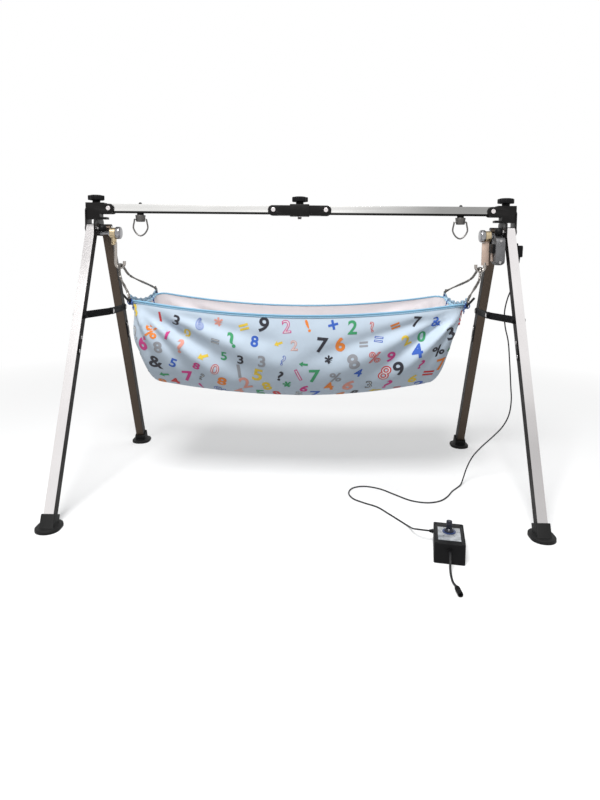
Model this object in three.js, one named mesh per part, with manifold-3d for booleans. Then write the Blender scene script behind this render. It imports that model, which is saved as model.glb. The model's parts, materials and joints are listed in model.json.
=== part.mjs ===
// Hanging baby cradle: a folding stand of square steel tube, two swing arms, a cloth
// hammock hung from them, an electric drive and a speed controller on the floor.
// Millimetres, +X to the right, +Y away from the viewer, +Z up. The origin is on the floor
// under the middle of the beam.
import * as THREE from 'three';
import { mergeVertices } from 'three/addons/utils/BufferGeometryUtils.js';
import Module from 'manifold-3d';

const wasm = await Module();
wasm.setup();

// Fits
const gap = 0.3;
const overrun = 1;
const mergeDistance = 0.0001;

// Square tube of the beam and the legs
const tubeSide = 25.4;
const tubeWall = 1.5;
const tubeHalf = tubeSide / 2;

// Stand
const beamHeight = 797;
const headRivetX = 548;
const centreRivetX = 75;
const tubeStub = 20;
const legOut = 48;
const legGap = 8.6;
const legPivotDrop = 57;
const legPivotY = 14;
const footSpread = 342;
const frontLegX = headRivetX + legOut;
const backLegX = frontLegX - tubeSide - legGap;
const legPivotHeight = beamHeight - legPivotDrop;

// Brackets that hold the beam
const cheekThickness = 3;
const cheekClearance = 0.5;
const cheekEnd = 15;
const webThickness = 3;
const webLap = 6.5;
const swingClearance = 1.5;
const blockSkirt = 15.5;
const cheekInner = tubeHalf + cheekClearance;
const cheekOuter = cheekInner + cheekThickness;
const webFace = tubeHalf + gap;
const bracketHalfHeight = webFace + webThickness;
const stubReach = Math.hypot(tubeStub, tubeHalf) + swingClearance;

// Plates that hold the legs and the swing arms
const plateThickness = 4;
const plateCorner = 8;
const plateBelowPivot = 22;
const plateFront = 44;
const plateBack = 30;
const outerPlateHalfWidth = 22;
const outerPlateDrop = 12;
const drivePlateDrop = 88;
const drivePlateWidth = 26;
const innerPlateX = (frontLegX + backLegX) / 2;
const outerPlateX = frontLegX + tubeHalf + overrun + plateThickness / 2;

// Rivets and pins
const rivetRadius = 4;
const rivetHeadRadius = 6.9;
const rivetHead = 3;
const pinRadius = 4;
const pinHeadRadius = 7;
const pinHead = 3;

// Lobed clamp knobs
const knobRadius = 23.5;
const knobLobeRadius = 6;
const knobHeight = 15;
const knobStemRadius = 11;
const knobStem = 7;
const knobStud = 24;
const knobStudRadius = 4;
const knobLobes = 7;
const headKnobInset = 24.2;
const headKnobX = outerPlateX - headKnobInset;

// Middle bracket
const collarHalfLength = 27.5;
const collarProud = 2.4;
const boltTipRadius = 4.5;
const boltTip = 8;

// Leg lock screws
const ballRadius = 11.5;
const ballReach = 18;
const ballY = -30;
const ballDrop = 1;
const ballX = innerPlateX - ballReach;
const ballHeight = legPivotHeight - ballDrop;
const lockScrewRadius = 3.5;

// Swing axles
const axleRadius = 5;
const axleY = -8;
const axleDrop = 13;
const axleHeight = legPivotHeight - axleDrop;
const capRadius = 18;
const capWidth = 14;
const capEdge = 3;
const armWidth = 17;
const axleNutRadius = 9.5;
const axleNutWidth = 6;
const driveWidth = 25;
const driveOuterX = innerPlateX - plateThickness / 2 - gap;
const driveInnerX = driveOuterX - driveWidth;
const armInnerX = driveInnerX - gap - axleNutWidth - gap - armWidth;

// Swing arms and their hooks
const eyeRadius = 15;
const neckRadius = 7.5;
const neckDrop = 35;
const neckBottom = axleHeight - neckDrop;
const rodRadius = 4.6;
const rodInset = 3;
const rodX = armInnerX + rodInset;
const hookRadius = 12.5;
const hookDrop = 87;
const hookHeight = axleHeight - hookDrop;
const hookTip = 6;
const barWidth = 20;
const barThickness = 6;
const barRise = 4;
const barBottom = hookHeight + barRise;
const armLap = 6;

// Wire hangers and spreader rods
const wireRadius = 2.5;
const rodTipRadius = 3;
const hangerSaddle = 7;
const hangerShoulderY = 20;
const hangerShoulderDrop = 9;
const hangerShoulderIn = 4;
const hangerBendY = 42;
const hangerBendDrop = 31;
const hangerBendIn = 13;
const hangerSpan = 70.6;
const hangerInset = 9;
const hangerEnd = 8;
const rodTipY = 16;
const rodTipRise = 15;
const rodTipOut = 9;

// Hammock
const hammockHalfLength = rodX - hookRadius - hangerSpan;
const hammockHalfWidth = 150;
const hammockDrop = 93;
const hammockCorner = hookHeight - hammockDrop;
const hammockDepth = 285;
const hammockSag = 38;
const hammockEndSag = 22;
const hammockKeel = 60;
const hammockKeelLeft = 44;
const hammockSwell = 0.05;
const swellBy = 0.5;
const hammockRound = 36;
const hammockWall = 4;
const hammockBelly = 12;
const foldDepth = 9;
const foldReach = 135;
const foldSpread = 95;
const foldFade = 60;

// Side stays
const stayDrop = 240;
const stayHeight = legPivotHeight - stayDrop;
const stayWidth = 20;
const stayThickness = 3;
const stayEnd = 10;
const staySideGap = 1;
const stayFlatLength = 16;

// Feet
const footLength = 74;
const footWidth = 60;
const footPad = 9;
const footCollarWall = 4.5;
const footCollar = 24;
const footFloor = 5;

// Rings under the beam
const ringInset = 88;
const ringX = headRivetX - ringInset;
const ringNutRadius = 6;
const ringNut = 5;
const ringStudRadius = 3;
const ringStudDepth = 5;
const ringSpacerRadius = 10;
const ringSpacer = 5;
const swivelRadius = 15;
const swivelHeight = 19;
const swivelNotch = 9;
const ringWireRadius = 2.3;
const ringHalfWidth = 22;
const ringDrop = 47;

// Electric drive on the right head
const driveFront = 44;
const driveBack = 1.6;
const driveTopDrop = 17;
const driveHeight = 78;
const driveNeckFront = 22;
const driveNeckDrop = 4;
const driveRound = 11;
const driveTop = legPivotHeight - driveTopDrop;
const driveBottom = driveTop - driveHeight;
const driveNeckTop = legPivotHeight - driveNeckDrop;
const coilWidth = 7.5;
const coilDrop = 21;
const coilHeight = 28;
const coilFront = 36;
const coilBack = 6;
const coilCorner = 5;
const poleHeight = 22;
const coilTop = axleHeight - coilDrop;
const coilBottom = coilTop - coilHeight;
const poleBottom = coilBottom - poleHeight;

// Jack box and plug on the right
const jackDrop = 32;
const jackHeight = 46;
const jackHalfWidth = 14;
const jackDepth = 9;
const jackCorner = 3;
const jackTop = legPivotHeight - jackDrop;
const jackBottom = jackTop - jackHeight;
const plugDepth = 16;
const plugInset = 6;
const plugTop = jackTop - plugInset;
const plugBottom = jackBottom + plugInset;
const plugHalfWidth = 8;
const reliefTopRadius = 4.5;
const reliefEndRadius = 3;

// Controller box
const boxX = 355.6;
const boxY = -421;
const boxTurnDegrees = -10.5;
const boxWidth = 68;
const boxLength = 107;
const boxHeight = 45;
const boxWall = 2.5;
const boxCorner = 4;
const lidThickness = 2.5;
const labelWidth = 50;
const labelLength = 64;
const labelThickness = 0.8;
const labelY = -4;
const dialY = 6;
const dialRingRadius = 15;
const dialRing = 1.5;
const dialSkirtRadius = 11;
const dialSkirt = 7;
const dialGripRadius = 6.5;
const dialGrip = 19;
const shaftRadius = 3;
const shaftAboveLid = 18;
const potRadius = 8;
const potHeight = 9;
const boardWidth = 46;
const boardLength = 70;
const boardThickness = 1.6;
const boardPost = 6;
const postRadius = 3;
const glandRadius = 5.5;
const gland = 8;
const glandShare = 0.7;
const driveGlandY = 40;
const driveGlandZ = 28;
const supplyGlandZ = 30;

// Cords, as points chosen by hand
const driveCordRadius = 2;
const supplyCordRadius = 2.5;
const driveCordRoute = [
  [629.8, 0, 652], [628.6, 0, 632], [619, 2, 592], [604, 4, 549], [597, 5, 508],
  [601, 6, 466], [611, 6, 425], [618, 5, 357], [623, 4, 294], [626, 3, 249],
  [620, 2, 205], [603, 0, 172], [576, -1, 142], [545, -1, 112], [518, -1, 80],
  [501, -3, 46], [490, -11, 19], [479, -27, 5], [462, -48, 2.1], [444, -72, 2.1],
  [421, -112, 2.1], [395, -141, 2.1], [360, -154, 2.1], [318, -143, 2.1],
  [276, -102, 2.1], [238, -63, 2.1], [195, -47, 2.1], [163, -60, 2.1],
  [148, -96, 2.1], [158, -136, 2.1], [188, -164, 2.1], [218, -187, 2.1],
  [244, -228, 2.1], [264, -262, 2.1], [278.5, -288, 2.5], [286, -311, 6.5],
  [289.5, -336, 14.5], [295, -356.5, 23], [306.5, -370.6, 28], [320.4, -373.6, 28],
];
const supplyCordRoute = [
  [344.4, -482.1, 30], [342.2, -494, 28.6], [340, -505, 21], [338.6, -513, 11.5],
  [337.6, -524, 4.9], [336.6, -538, 2.7], [336, -553, 3.2], [337.8, -571, 5.8],
];
const driveCordSteps = 78;
const supplyCordSteps = 14;
const socketRadius = 5.6;
const socketLength = 30;
const socketBore = 2.8;
const socketBoreDepth = 12;

// How finely round shapes are cut
const roundSides = 12;
const lobeSides = 8;
const wireSides = 8;
const cordSides = 8;
const cornerSteps = 3;
const hookSteps = 16;
const hangerSteps = 24;
const spreaderSteps = 16;
const ringSteps = 22;
const hammockEndSteps = 3;
const hammockCornerSteps = 2;
const hammockSideSteps = 8;
const hammockQuarter = hammockEndSteps + hammockCornerSteps + hammockSideSteps;
const hammockRows = 11;
const foldWaves = 2;

const finish = (color, roughness, metalness) =>
  new THREE.MeshStandardMaterial({ color, roughness, metalness });
const steel = finish(0xd2d3d6, 0.32, 1);
const chrome = finish(0xe4e5e8, 0.15, 1);
const blackMetal = finish(0x17171a, 0.5, 0.3);
const blackPlastic = finish(0x141416, 0.55, 0);
const castMetal = finish(0x6f6f72, 0.55, 0.8);
const brass = finish(0xb08f6c, 0.4, 0.9);
const cloth = finish(0xbcd3ea, 0.9, 0);
const rubber = finish(0x101012, 0.7, 0);
const silver = finish(0xc9cdd2, 0.35, 0.6);

const model = new THREE.Group();

/** Adds a named mesh to the model. */
function add(name, geometry, material) {
  const mesh = new THREE.Mesh(geometry, material);
  mesh.name = name;
  model.add(mesh);
}

/** A closed geometry as a solid that can be joined and cut. */
function toSolid(geometry) {
  const bare = geometry.clone();
  bare.deleteAttribute('normal');
  bare.deleteAttribute('uv');
  const merged = mergeVertices(bare, mergeDistance);
  return new wasm.Manifold(new wasm.Mesh({
    numProp: 3,
    vertProperties: Float32Array.from(merged.attributes.position.array),
    triVerts: Uint32Array.from(merged.index.array),
  }));
}

/** A solid's surface as a geometry. */
function toGeometry(solid) {
  const mesh = solid.getMesh();
  const geometry = new THREE.BufferGeometry();
  geometry.setAttribute('position', new THREE.BufferAttribute(mesh.vertProperties, 3));
  geometry.setIndex(new THREE.BufferAttribute(mesh.triVerts, 1));
  geometry.computeVertexNormals();
  return geometry;
}

/** The shapes joined into one. */
function join(...shapes) {
  return toGeometry(shapes.map(toSolid).reduce((whole, next) => whole.add(next)));
}

/** The first shape with the others cut away. */
function cut(shape, ...tools) {
  return toGeometry(tools.map(toSolid).reduce((whole, next) => whole.subtract(next), toSolid(shape)));
}

/** What two shapes have in common. */
function common(shape, other) {
  return toGeometry(toSolid(shape).intersect(toSolid(other)));
}

/** A block between two corners, given in any order. */
function block(x0, x1, y0, y1, z0, z1) {
  const shape = new THREE.BoxGeometry(Math.abs(x1 - x0), Math.abs(y1 - y0), Math.abs(z1 - z0));
  return shape.translate((x0 + x1) / 2, (y0 + y1) / 2, (z0 + z1) / 2);
}

/** A round bar along X between x0 and x1. */
function barX(radius, x0, x1, y, z, sides = roundSides) {
  const shape = new THREE.CylinderGeometry(radius, radius, Math.abs(x1 - x0), sides);
  return shape.rotateZ(Math.PI / 2).translate((x0 + x1) / 2, y, z);
}

/** A round bar along Y between y0 and y1. */
function barY(radius, y0, y1, x, z, sides = roundSides) {
  const shape = new THREE.CylinderGeometry(radius, radius, Math.abs(y1 - y0), sides);
  return shape.translate(x, (y0 + y1) / 2, z);
}

/** A round or tapered bar along Z, from z0 with its first radius to z1. */
function barZ(radius0, z0, z1, x, y, radius1 = radius0, sides = roundSides) {
  const shape = new THREE.CylinderGeometry(radius1, radius0, Math.abs(z1 - z0), sides);
  return shape.rotateX(Math.PI / 2).translate(x, y, (z0 + z1) / 2);
}

/** A plate of an outline drawn in Y and Z, between x0 and x1. */
function plateX(outline, x0, x1) {
  const shape = new THREE.ExtrudeGeometry(outline, {
    depth: Math.abs(x1 - x0), bevelEnabled: false, curveSegments: cornerSteps,
  });
  const turned = new THREE.Matrix4().makeBasis(
    new THREE.Vector3(0, 1, 0), new THREE.Vector3(0, 0, 1), new THREE.Vector3(1, 0, 0));
  return shape.applyMatrix4(turned).translate(Math.min(x0, x1), 0, 0);
}

/** A plate of an outline drawn in X and Z, between y0 and y1. */
function plateY(outline, y0, y1) {
  const shape = new THREE.ExtrudeGeometry(outline, {
    depth: Math.abs(y1 - y0), bevelEnabled: false, curveSegments: cornerSteps,
  });
  return shape.rotateX(Math.PI / 2).translate(0, Math.max(y0, y1), 0);
}

/** A plate of an outline drawn in X and Y, between z0 and z1. */
function plateZ(outline, z0, z1) {
  return new THREE.ExtrudeGeometry(outline, {
    depth: z1 - z0, bevelEnabled: false, curveSegments: cornerSteps,
  }).translate(0, 0, z0);
}

/** A rectangle with round corners, between two corners of its own plane. */
function rounded(a0, a1, b0, b1, radius) {
  const [left, right] = [Math.min(a0, a1), Math.max(a0, a1)];
  const shape = new THREE.Shape();
  shape.absarc(right - radius, b0 + radius, radius, -Math.PI / 2, 0, false);
  shape.absarc(right - radius, b1 - radius, radius, 0, Math.PI / 2, false);
  shape.absarc(left + radius, b1 - radius, radius, Math.PI / 2, Math.PI, false);
  shape.absarc(left + radius, b0 + radius, radius, Math.PI, 1.5 * Math.PI, false);
  return shape;
}

/** A tube of flat-sided round section along a smooth path. */
function tubeAlong(points, radius, sides, steps) {
  const path = new THREE.CatmullRomCurve3(points.map((p) => new THREE.Vector3(...p)), false, 'centripetal');
  const section = new THREE.Shape(Array.from({ length: sides }, (_, i) => {
    const angle = (2 * Math.PI * (i + 0.5)) / sides;
    return new THREE.Vector2(radius * Math.cos(angle), radius * Math.sin(angle));
  }));
  return new THREE.ExtrudeGeometry(section, { steps, bevelEnabled: false, extrudePath: path });
}

/** A knob with lobes on a stem, standing on z, with its stud below. */
function lobedKnob(x, z, studLength) {
  const lobes = Array.from({ length: knobLobes }, (_, i) => {
    const angle = (2 * Math.PI * i) / knobLobes;
    const out = knobRadius - knobLobeRadius;
    return barZ(knobLobeRadius, z + knobStem, z + knobStem + knobHeight,
      x + out * Math.cos(angle), out * Math.sin(angle), knobLobeRadius, lobeSides);
  });
  return join(
    barZ(knobRadius - knobLobeRadius / 2, z + knobStem, z + knobStem + knobHeight, x, 0),
    ...lobes,
    barZ(knobStemRadius, z, z + knobStem + overrun, x, 0),
    barZ(knobStudRadius, z - studLength, z + overrun, x, 0),
  );
}

/** A rivet along Y through both cheeks of a bracket. */
function cheekRivet(x) {
  const face = cheekOuter + gap;
  return join(
    barY(rivetRadius, -face - rivetHead / 2, face + rivetHead / 2, x, beamHeight),
    barY(rivetHeadRadius, -face - rivetHead, -face, x, beamHeight),
    barY(rivetHeadRadius, face, face + rivetHead, x, beamHeight),
  );
}

/** Half of the beam, open at both ends and pierced for its two rivets and its ring. */
function buildBeam(side, name) {
  const x0 = side * (centreRivetX - tubeStub);
  const x1 = side * (headRivetX + tubeStub);
  const inner = tubeHalf - tubeWall;
  const reach = side * overrun;
  add(`${name}_beam`, cut(
    block(x0, x1, -tubeHalf, tubeHalf, beamHeight - tubeHalf, beamHeight + tubeHalf),
    block(x0 - reach, x1 + reach, -inner, inner, beamHeight - inner, beamHeight + inner),
    barY(rivetRadius + gap, -tubeSide, tubeSide, side * headRivetX, beamHeight),
    barY(rivetRadius + gap, -tubeSide, tubeSide, side * centreRivetX, beamHeight),
    barZ(ringStudRadius + gap, beamHeight - tubeSide, beamHeight + tubeSide, side * ringX, 0),
  ), steel);
}

/** The middle bracket: two cheeks, a web below, and a block for the knob's stud. */
function buildCentre() {
  const end = centreRivetX + cheekEnd;
  const outline = rounded(-end, end, beamHeight - bracketHalfHeight, beamHeight + tubeHalf,
    tubeHalf - overrun);
  const blockEnd = centreRivetX - stubReach;
  const webEnd = centreRivetX - tubeStub + webLap;
  const collar = cheekOuter + collarProud;
  const bottom = beamHeight - bracketHalfHeight;
  const top = beamHeight + bracketHalfHeight;
  const body = join(
    plateY(outline, -cheekOuter, -cheekInner),
    plateY(outline, cheekInner, cheekOuter),
    block(-webEnd, webEnd, -cheekOuter, cheekOuter, bottom, beamHeight - webFace),
    block(-blockEnd, blockEnd, -cheekOuter, cheekOuter, bottom, beamHeight + tubeHalf),
    block(-collarHalfLength, collarHalfLength, -collar, collar, bottom - collarProud, top),
  );
  add('centre_bracket', cut(
    body,
    barY(rivetRadius + gap, -tubeSide, tubeSide, centreRivetX, beamHeight),
    barY(rivetRadius + gap, -tubeSide, tubeSide, -centreRivetX, beamHeight),
    barZ(knobStudRadius + gap, bottom - tubeSide, top + tubeSide, 0, 0),
  ), blackMetal);
  const studLength = top - bottom + collarProud + boltTip;
  add('centre_knob', join(
    lobedKnob(0, top + gap, studLength + gap),
    barZ(boltTipRadius, bottom - collarProud - boltTip, bottom - collarProud - gap, 0, 0),
  ), blackPlastic);
  add('centre_rivet_left', cheekRivet(-centreRivetX), chrome);
  add('centre_rivet_right', cheekRivet(centreRivetX), chrome);
}

/** The outline of the plate between the legs, drawn in Y and Z. */
function hingePlate(x0, x1, drop) {
  const bottom = legPivotHeight - plateBelowPivot;
  const upper = beamHeight - bracketHalfHeight - blockSkirt;
  const body = join(
    plateX(rounded(-plateFront, plateBack, bottom, upper, plateCorner), x0, x1),
    block(x0, x1, -cheekOuter, cheekOuter, legPivotHeight, beamHeight),
  );
  if (drop === 0) {
    return body;
  }
  const front = -driveFront + drivePlateWidth / 2;
  return join(body, plateX(
    rounded(front, front + drivePlateWidth, legPivotHeight - drop, legPivotHeight, plateCorner), x0, x1));
}

/** The head of one A-frame: a bracket over the beam's end with the plates that hold the legs. */
function buildHead(side, name) {
  const drive = side > 0;
  const innerEnd = side * (headRivetX - cheekEnd);
  const outerEnd = side * (outerPlateX + plateThickness / 2);
  const bottom = beamHeight - bracketHalfHeight;
  const top = beamHeight + bracketHalfHeight;
  const skirt = bottom - blockSkirt;
  const cheek = rounded(innerEnd, outerEnd, bottom, beamHeight + tubeHalf, tubeHalf - overrun);
  const blockX = side * (headRivetX + stubReach);
  const webX = side * (headRivetX + tubeStub - webLap);
  const plateInner = side * (innerPlateX - plateThickness / 2);
  const plateOuter = side * (innerPlateX + plateThickness / 2);
  const outerPlateInner = side * (outerPlateX - plateThickness / 2);
  const yokeX = side * (backLegX - tubeHalf / 2);
  const yokeTop = beamHeight - stubReach;
  const outerBottom = legPivotHeight - outerPlateDrop;
  const parts = [
    plateY(cheek, -cheekOuter, -cheekInner),
    plateY(cheek, cheekInner, cheekOuter),
    block(webX, outerEnd, -cheekOuter, cheekOuter, beamHeight + webFace, top),
    block(blockX, outerEnd, -cheekOuter, cheekOuter, skirt, top),
    block(yokeX, plateOuter, -cheekInner, cheekInner, skirt, yokeTop),
    hingePlate(plateInner, plateOuter, drive ? drivePlateDrop : 0),
    plateX(rounded(-outerPlateHalfWidth, outerPlateHalfWidth, outerBottom, beamHeight, plateCorner),
      outerPlateInner, outerEnd),
  ];
  if (drive) {
    parts.push(block(outerPlateInner, outerEnd, -jackHalfWidth, jackHalfWidth, jackBottom, beamHeight));
  }
  const through = side * overrun;
  add(`${name}_head`, cut(
    join(...parts),
    barY(rivetRadius + gap, -tubeSide, tubeSide, side * headRivetX, beamHeight),
    barZ(knobStudRadius + gap, top - knobStud - gap, top + overrun, side * headKnobX, 0),
    barX(pinRadius + gap, plateInner - through, outerEnd + through, -legPivotY, legPivotHeight),
    barX(pinRadius + gap, plateInner - through, plateOuter + through, legPivotY, legPivotHeight),
    barX(axleRadius + gap, plateInner - through, plateOuter + through, axleY, axleHeight),
    barX(lockScrewRadius + gap, plateInner - through, plateOuter + through, ballY, ballHeight),
  ), blackMetal);
  add(`${name}_head_rivet`, cheekRivet(side * headRivetX), chrome);
  add(`${name}_head_knob`, lobedKnob(side * headKnobX, top + gap, knobStud), blackPlastic);
}

/** A pin along X with a head at each end. */
function pinX(radius, headRadius, head, x0, x1, y, z) {
  const step = Math.sign(x1 - x0) * head;
  return join(
    barX(radius, x0 - step / 2, x1 + step / 2, y, z),
    barX(headRadius, x0 - step, x0, y, z),
    barX(headRadius, x1, x1 + step, y, z),
  );
}

/** The two pins that the legs turn on, and the screw that locks them open. */
function buildPins(side, name) {
  const plateInner = innerPlateX - plateThickness / 2 - gap;
  const plateOuter = innerPlateX + plateThickness / 2;
  add(`${name}_front_leg_pin`, pinX(pinRadius, pinHeadRadius, pinHead, side * plateInner,
    side * (outerPlateX + plateThickness / 2 + gap), -legPivotY, legPivotHeight), chrome);
  add(`${name}_back_leg_pin`, pinX(pinRadius, pinHeadRadius, pinHead,
    side * (backLegX - tubeHalf - gap), side * (plateOuter + gap), legPivotY, legPivotHeight), chrome);
  const ball = new THREE.SphereGeometry(ballRadius, roundSides, roundSides / 2);
  add(`${name}_lock_knob`, join(
    ball.translate(side * ballX, ballY, ballHeight),
    barX(lockScrewRadius, side * ballX, side * plateOuter, ballY, ballHeight),
  ), blackPlastic);
}

const legRun = footSpread - legPivotY;
const legDrop = legPivotHeight - footPad;
const legAngle = Math.atan2(legRun, legDrop);
const legLength = (legPivotHeight - footFloor - tubeHalf * Math.sin(legAngle)) / Math.cos(legAngle) - gap;
const stayReach = (legPivotHeight - stayHeight) / Math.cos(legAngle);
const stayPivotY = legPivotY + stayReach * Math.sin(legAngle);

/** Turns a shape built down from the origin into a leg's place; depth is -1 for the front. */
function atLeg(shape, depth, x) {
  return shape.rotateX(depth * legAngle).translate(x, depth * legPivotY, legPivotHeight);
}

/** A leg of square tube with a round top. */
function buildLeg(side, depth, name) {
  const x = side * (depth < 0 ? frontLegX : backLegX);
  const outline = new THREE.Shape();
  outline.moveTo(-tubeHalf, -legLength);
  outline.lineTo(tubeHalf, -legLength);
  outline.absarc(0, 0, tubeHalf, 0, Math.PI, false);
  const inner = tubeHalf - tubeWall;
  const shape = cut(
    plateX(outline, -tubeHalf, tubeHalf),
    block(-inner, inner, -inner, inner, -legLength - overrun, -tubeHalf),
    barX(pinRadius + gap, -tubeSide, tubeSide, 0, 0),
    barX(rivetRadius + gap, -tubeSide, tubeSide, 0, -stayReach),
  );
  add(`${name}_leg`, atLeg(shape, depth, x), steel);
}

/** A rubber foot: an oval pad with a square collar round the leg's end. */
function buildFoot(side, depth, name) {
  const x = side * (depth < 0 ? frontLegX : backLegX);
  const y = depth * footSpread;
  const radius = footWidth / 2;
  const pad = plateZ(rounded(x - radius, x + radius, y - footLength / 2, y + footLength / 2,
    radius - overrun), 0, footPad);
  const half = tubeHalf + footCollarWall;
  const socket = tubeHalf + gap;
  const collar = atLeg(block(-half, half, -half, half, -legLength - half, -legLength + footCollar), depth, x);
  const above = block(x - half - overrun, x + half + overrun, y - footLength, y + footLength,
    footPad / 2, footLength);
  const pocket = atLeg(block(-socket, socket, -socket, socket, -legLength - gap, -legLength / 2), depth, x);
  add(`${name}_foot`, cut(join(pad, common(collar, above)), pocket), rubber);
}

/** The two links of one side stay, between the front and the back leg. */
function buildStay(side, name) {
  const frontX = frontLegX - tubeHalf - gap;
  const backX = backLegX - tubeHalf - staySideGap;
  const middleX = backX + gap + stayThickness;
  const low = stayHeight - stayWidth / 2;
  const high = stayHeight + stayWidth / 2;
  const outline = new THREE.Shape();
  outline.moveTo(side * frontX, -stayPivotY - stayEnd);
  outline.lineTo(side * frontX, -stayPivotY + stayFlatLength);
  outline.lineTo(side * middleX, -stayFlatLength);
  outline.lineTo(side * middleX, stayEnd);
  outline.lineTo(side * (middleX - stayThickness), stayEnd);
  outline.lineTo(side * (middleX - stayThickness), -stayFlatLength);
  outline.lineTo(side * (frontX - stayThickness), -stayPivotY + stayFlatLength);
  outline.lineTo(side * (frontX - stayThickness), -stayPivotY - stayEnd);
  const frontOutline = rounded(-stayPivotY - stayEnd, stayEnd, low, high, stayEnd - overrun);
  const strip = common(
    plateZ(outline, low, high),
    plateX(frontOutline, side * (middleX - tubeSide), side * (frontX + tubeSide)),
  );
  const head = side * rivetHead;
  const legOuter = side * (frontLegX + tubeHalf + gap);
  add(`${name}_stay_front`, cut(join(
    strip,
    barX(rivetRadius, side * (frontX - stayThickness), legOuter + head / 2, -stayPivotY, stayHeight),
    barX(rivetHeadRadius, legOuter, legOuter + head, -stayPivotY, stayHeight),
    barX(rivetHeadRadius, side * (frontX - stayThickness) - head,
      side * (frontX - stayThickness / 2), -stayPivotY, stayHeight),
  ), barX(rivetRadius + gap, side * (middleX - tubeSide), side * (middleX + tubeHalf), 0, stayHeight)),
  blackMetal);
  const backOutline = rounded(-stayEnd, stayPivotY + stayEnd, low, high, stayEnd - overrun);
  const backInner = side * (backX - stayThickness);
  add(`${name}_stay_back`, join(
    plateX(backOutline, backInner, side * backX),
    barX(rivetRadius, side * backX, side * (middleX + rivetHead / 2), 0, stayHeight),
    barX(rivetHeadRadius, side * (middleX + gap), side * (middleX + gap + rivetHead), 0, stayHeight),
    barX(rivetHeadRadius, backInner - head, backInner + head / 2, 0, stayHeight),
    barX(rivetHeadRadius, backInner - head, backInner + head / 2, stayPivotY, stayHeight),
  ), blackMetal);
}

/** The axle that carries a swing arm, with its chrome cap and its nut. */
function buildAxle(side, name) {
  const capOuter = armInnerX - gap;
  const capInner = capOuter - capWidth;
  const nut = armInnerX + armWidth + gap;
  const plateOuter = innerPlateX + plateThickness / 2;
  add(`${name}_axle`, join(
    barX(axleRadius, side * (capInner + capEdge), side * plateOuter, axleY, axleHeight),
    barX(capRadius, side * (capInner + capEdge), side * capOuter, axleY, axleHeight),
    barX(capRadius - capEdge, side * capInner, side * capOuter, axleY, axleHeight),
    barX(axleNutRadius, side * nut, side * (nut + axleNutWidth), axleY, axleHeight, 6),
  ), chrome);
}

/** The hook at the foot of a swing arm, open towards the middle of the cradle. */
function hookPath(side, top) {
  const turns = 6;
  const middle = rodX - hookRadius;
  const bend = Array.from({ length: turns + 1 }, (_, i) => {
    const angle = (Math.PI * i) / turns;
    return [side * (middle + hookRadius * Math.cos(angle)), axleY, hookHeight - hookRadius * Math.sin(angle)];
  });
  const straight = [top, (top + hookHeight) / 2].map((z) => [side * rodX, axleY, z]);
  return [...straight, ...bend, [side * (rodX - 2 * hookRadius), axleY, hookHeight + hookTip]];
}

/** A swing arm: an eye on the axle, then a rod or a flat bar, then the hook. */
function buildArm(side, name) {
  const drive = side > 0;
  const x0 = side * armInnerX;
  const x1 = side * (armInnerX + armWidth);
  const eye = barX(eyeRadius, x0, x1, axleY, axleHeight);
  const bore = barX(axleRadius + gap, x0 - tubeSide, x1 + tubeSide, axleY, axleHeight);
  const hookTop = drive ? barBottom + 2 * rodRadius : neckBottom + 2 * rodRadius;
  const hook = tubeAlong(hookPath(side, hookTop), rodRadius, wireSides, hookSteps);
  const barMiddle = armInnerX + rodRadius - overrun;
  const barOuter = barMiddle + barWidth / 2;
  const armTop = axleHeight - eyeRadius + armLap;
  const underCap = axleHeight - capRadius - gap;
  const bar = (inner, low, high) => block(side * inner, side * barOuter,
    axleY - barThickness / 2, axleY + barThickness / 2, low, high);
  const shank = drive
    ? join(bar(barMiddle - barWidth / 2, barBottom, underCap), bar(armInnerX, barBottom, armTop))
    : barZ(neckRadius, neckBottom, armTop, side * (armInnerX + neckRadius), axleY);
  add(`${name}_swing_arm`, join(cut(join(eye, shank), bore), hook), drive ? brass : chrome);
}

/**
 * A point of a rounded rectangle and the way out of it there, counted round from the middle of
 * its right end. The four quarters mirror one another, so a front point has its twin behind it.
 */
function walkRound(index, halfLength, halfWidth, radius) {
  const quarter = Math.floor(index / hammockQuarter);
  const within = index % hammockQuarter;
  const step = quarter % 2 === 0 ? within : hammockQuarter - within;
  const [sx, sy] = [quarter === 0 || quarter === 3 ? 1 : -1, quarter < 2 ? 1 : -1];
  if (step < hammockEndSteps) {
    return [sx * halfLength, sy * (halfWidth - radius) * (step / hammockEndSteps), sx, 0];
  }
  const turned = (step - hammockEndSteps) / hammockCornerSteps;
  if (turned <= 1) {
    const [out, over] = [Math.cos(turned * Math.PI / 2), Math.sin(turned * Math.PI / 2)];
    return [sx * (halfLength - radius + radius * out), sy * (halfWidth - radius + radius * over),
      sx * out, sy * over];
  }
  const left = (hammockQuarter - step) / hammockSideSteps;
  const spread = 1 - (1 - left) ** 1.25;
  return [sx * (halfLength - radius) * spread, sy * halfWidth, 0, sy];
}

/** How far the cloth stands out in folds that fan from the corner it hangs by. */
function foldAt(fromEnd, fromRim) {
  const reach = Math.hypot(fromEnd, fromRim);
  const direction = Math.atan2(fromRim, fromEnd) / (Math.PI / 2);
  const near = Math.exp(-(((reach - foldReach) / foldSpread) ** 2));
  return foldDepth * Math.sin(2 * Math.PI * foldWaves * direction) * near * Math.min(1, fromRim / foldFade);
}

/** The height of the hammock's rim, by the share of the half length and of the half width. */
function rimHeight(along, across) {
  const side = hammockSag * (1 - along ** 2) * across ** 2;
  const end = hammockEndSag * (1 - across ** 2) * along ** 2;
  return hammockCorner - side - end;
}

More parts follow.
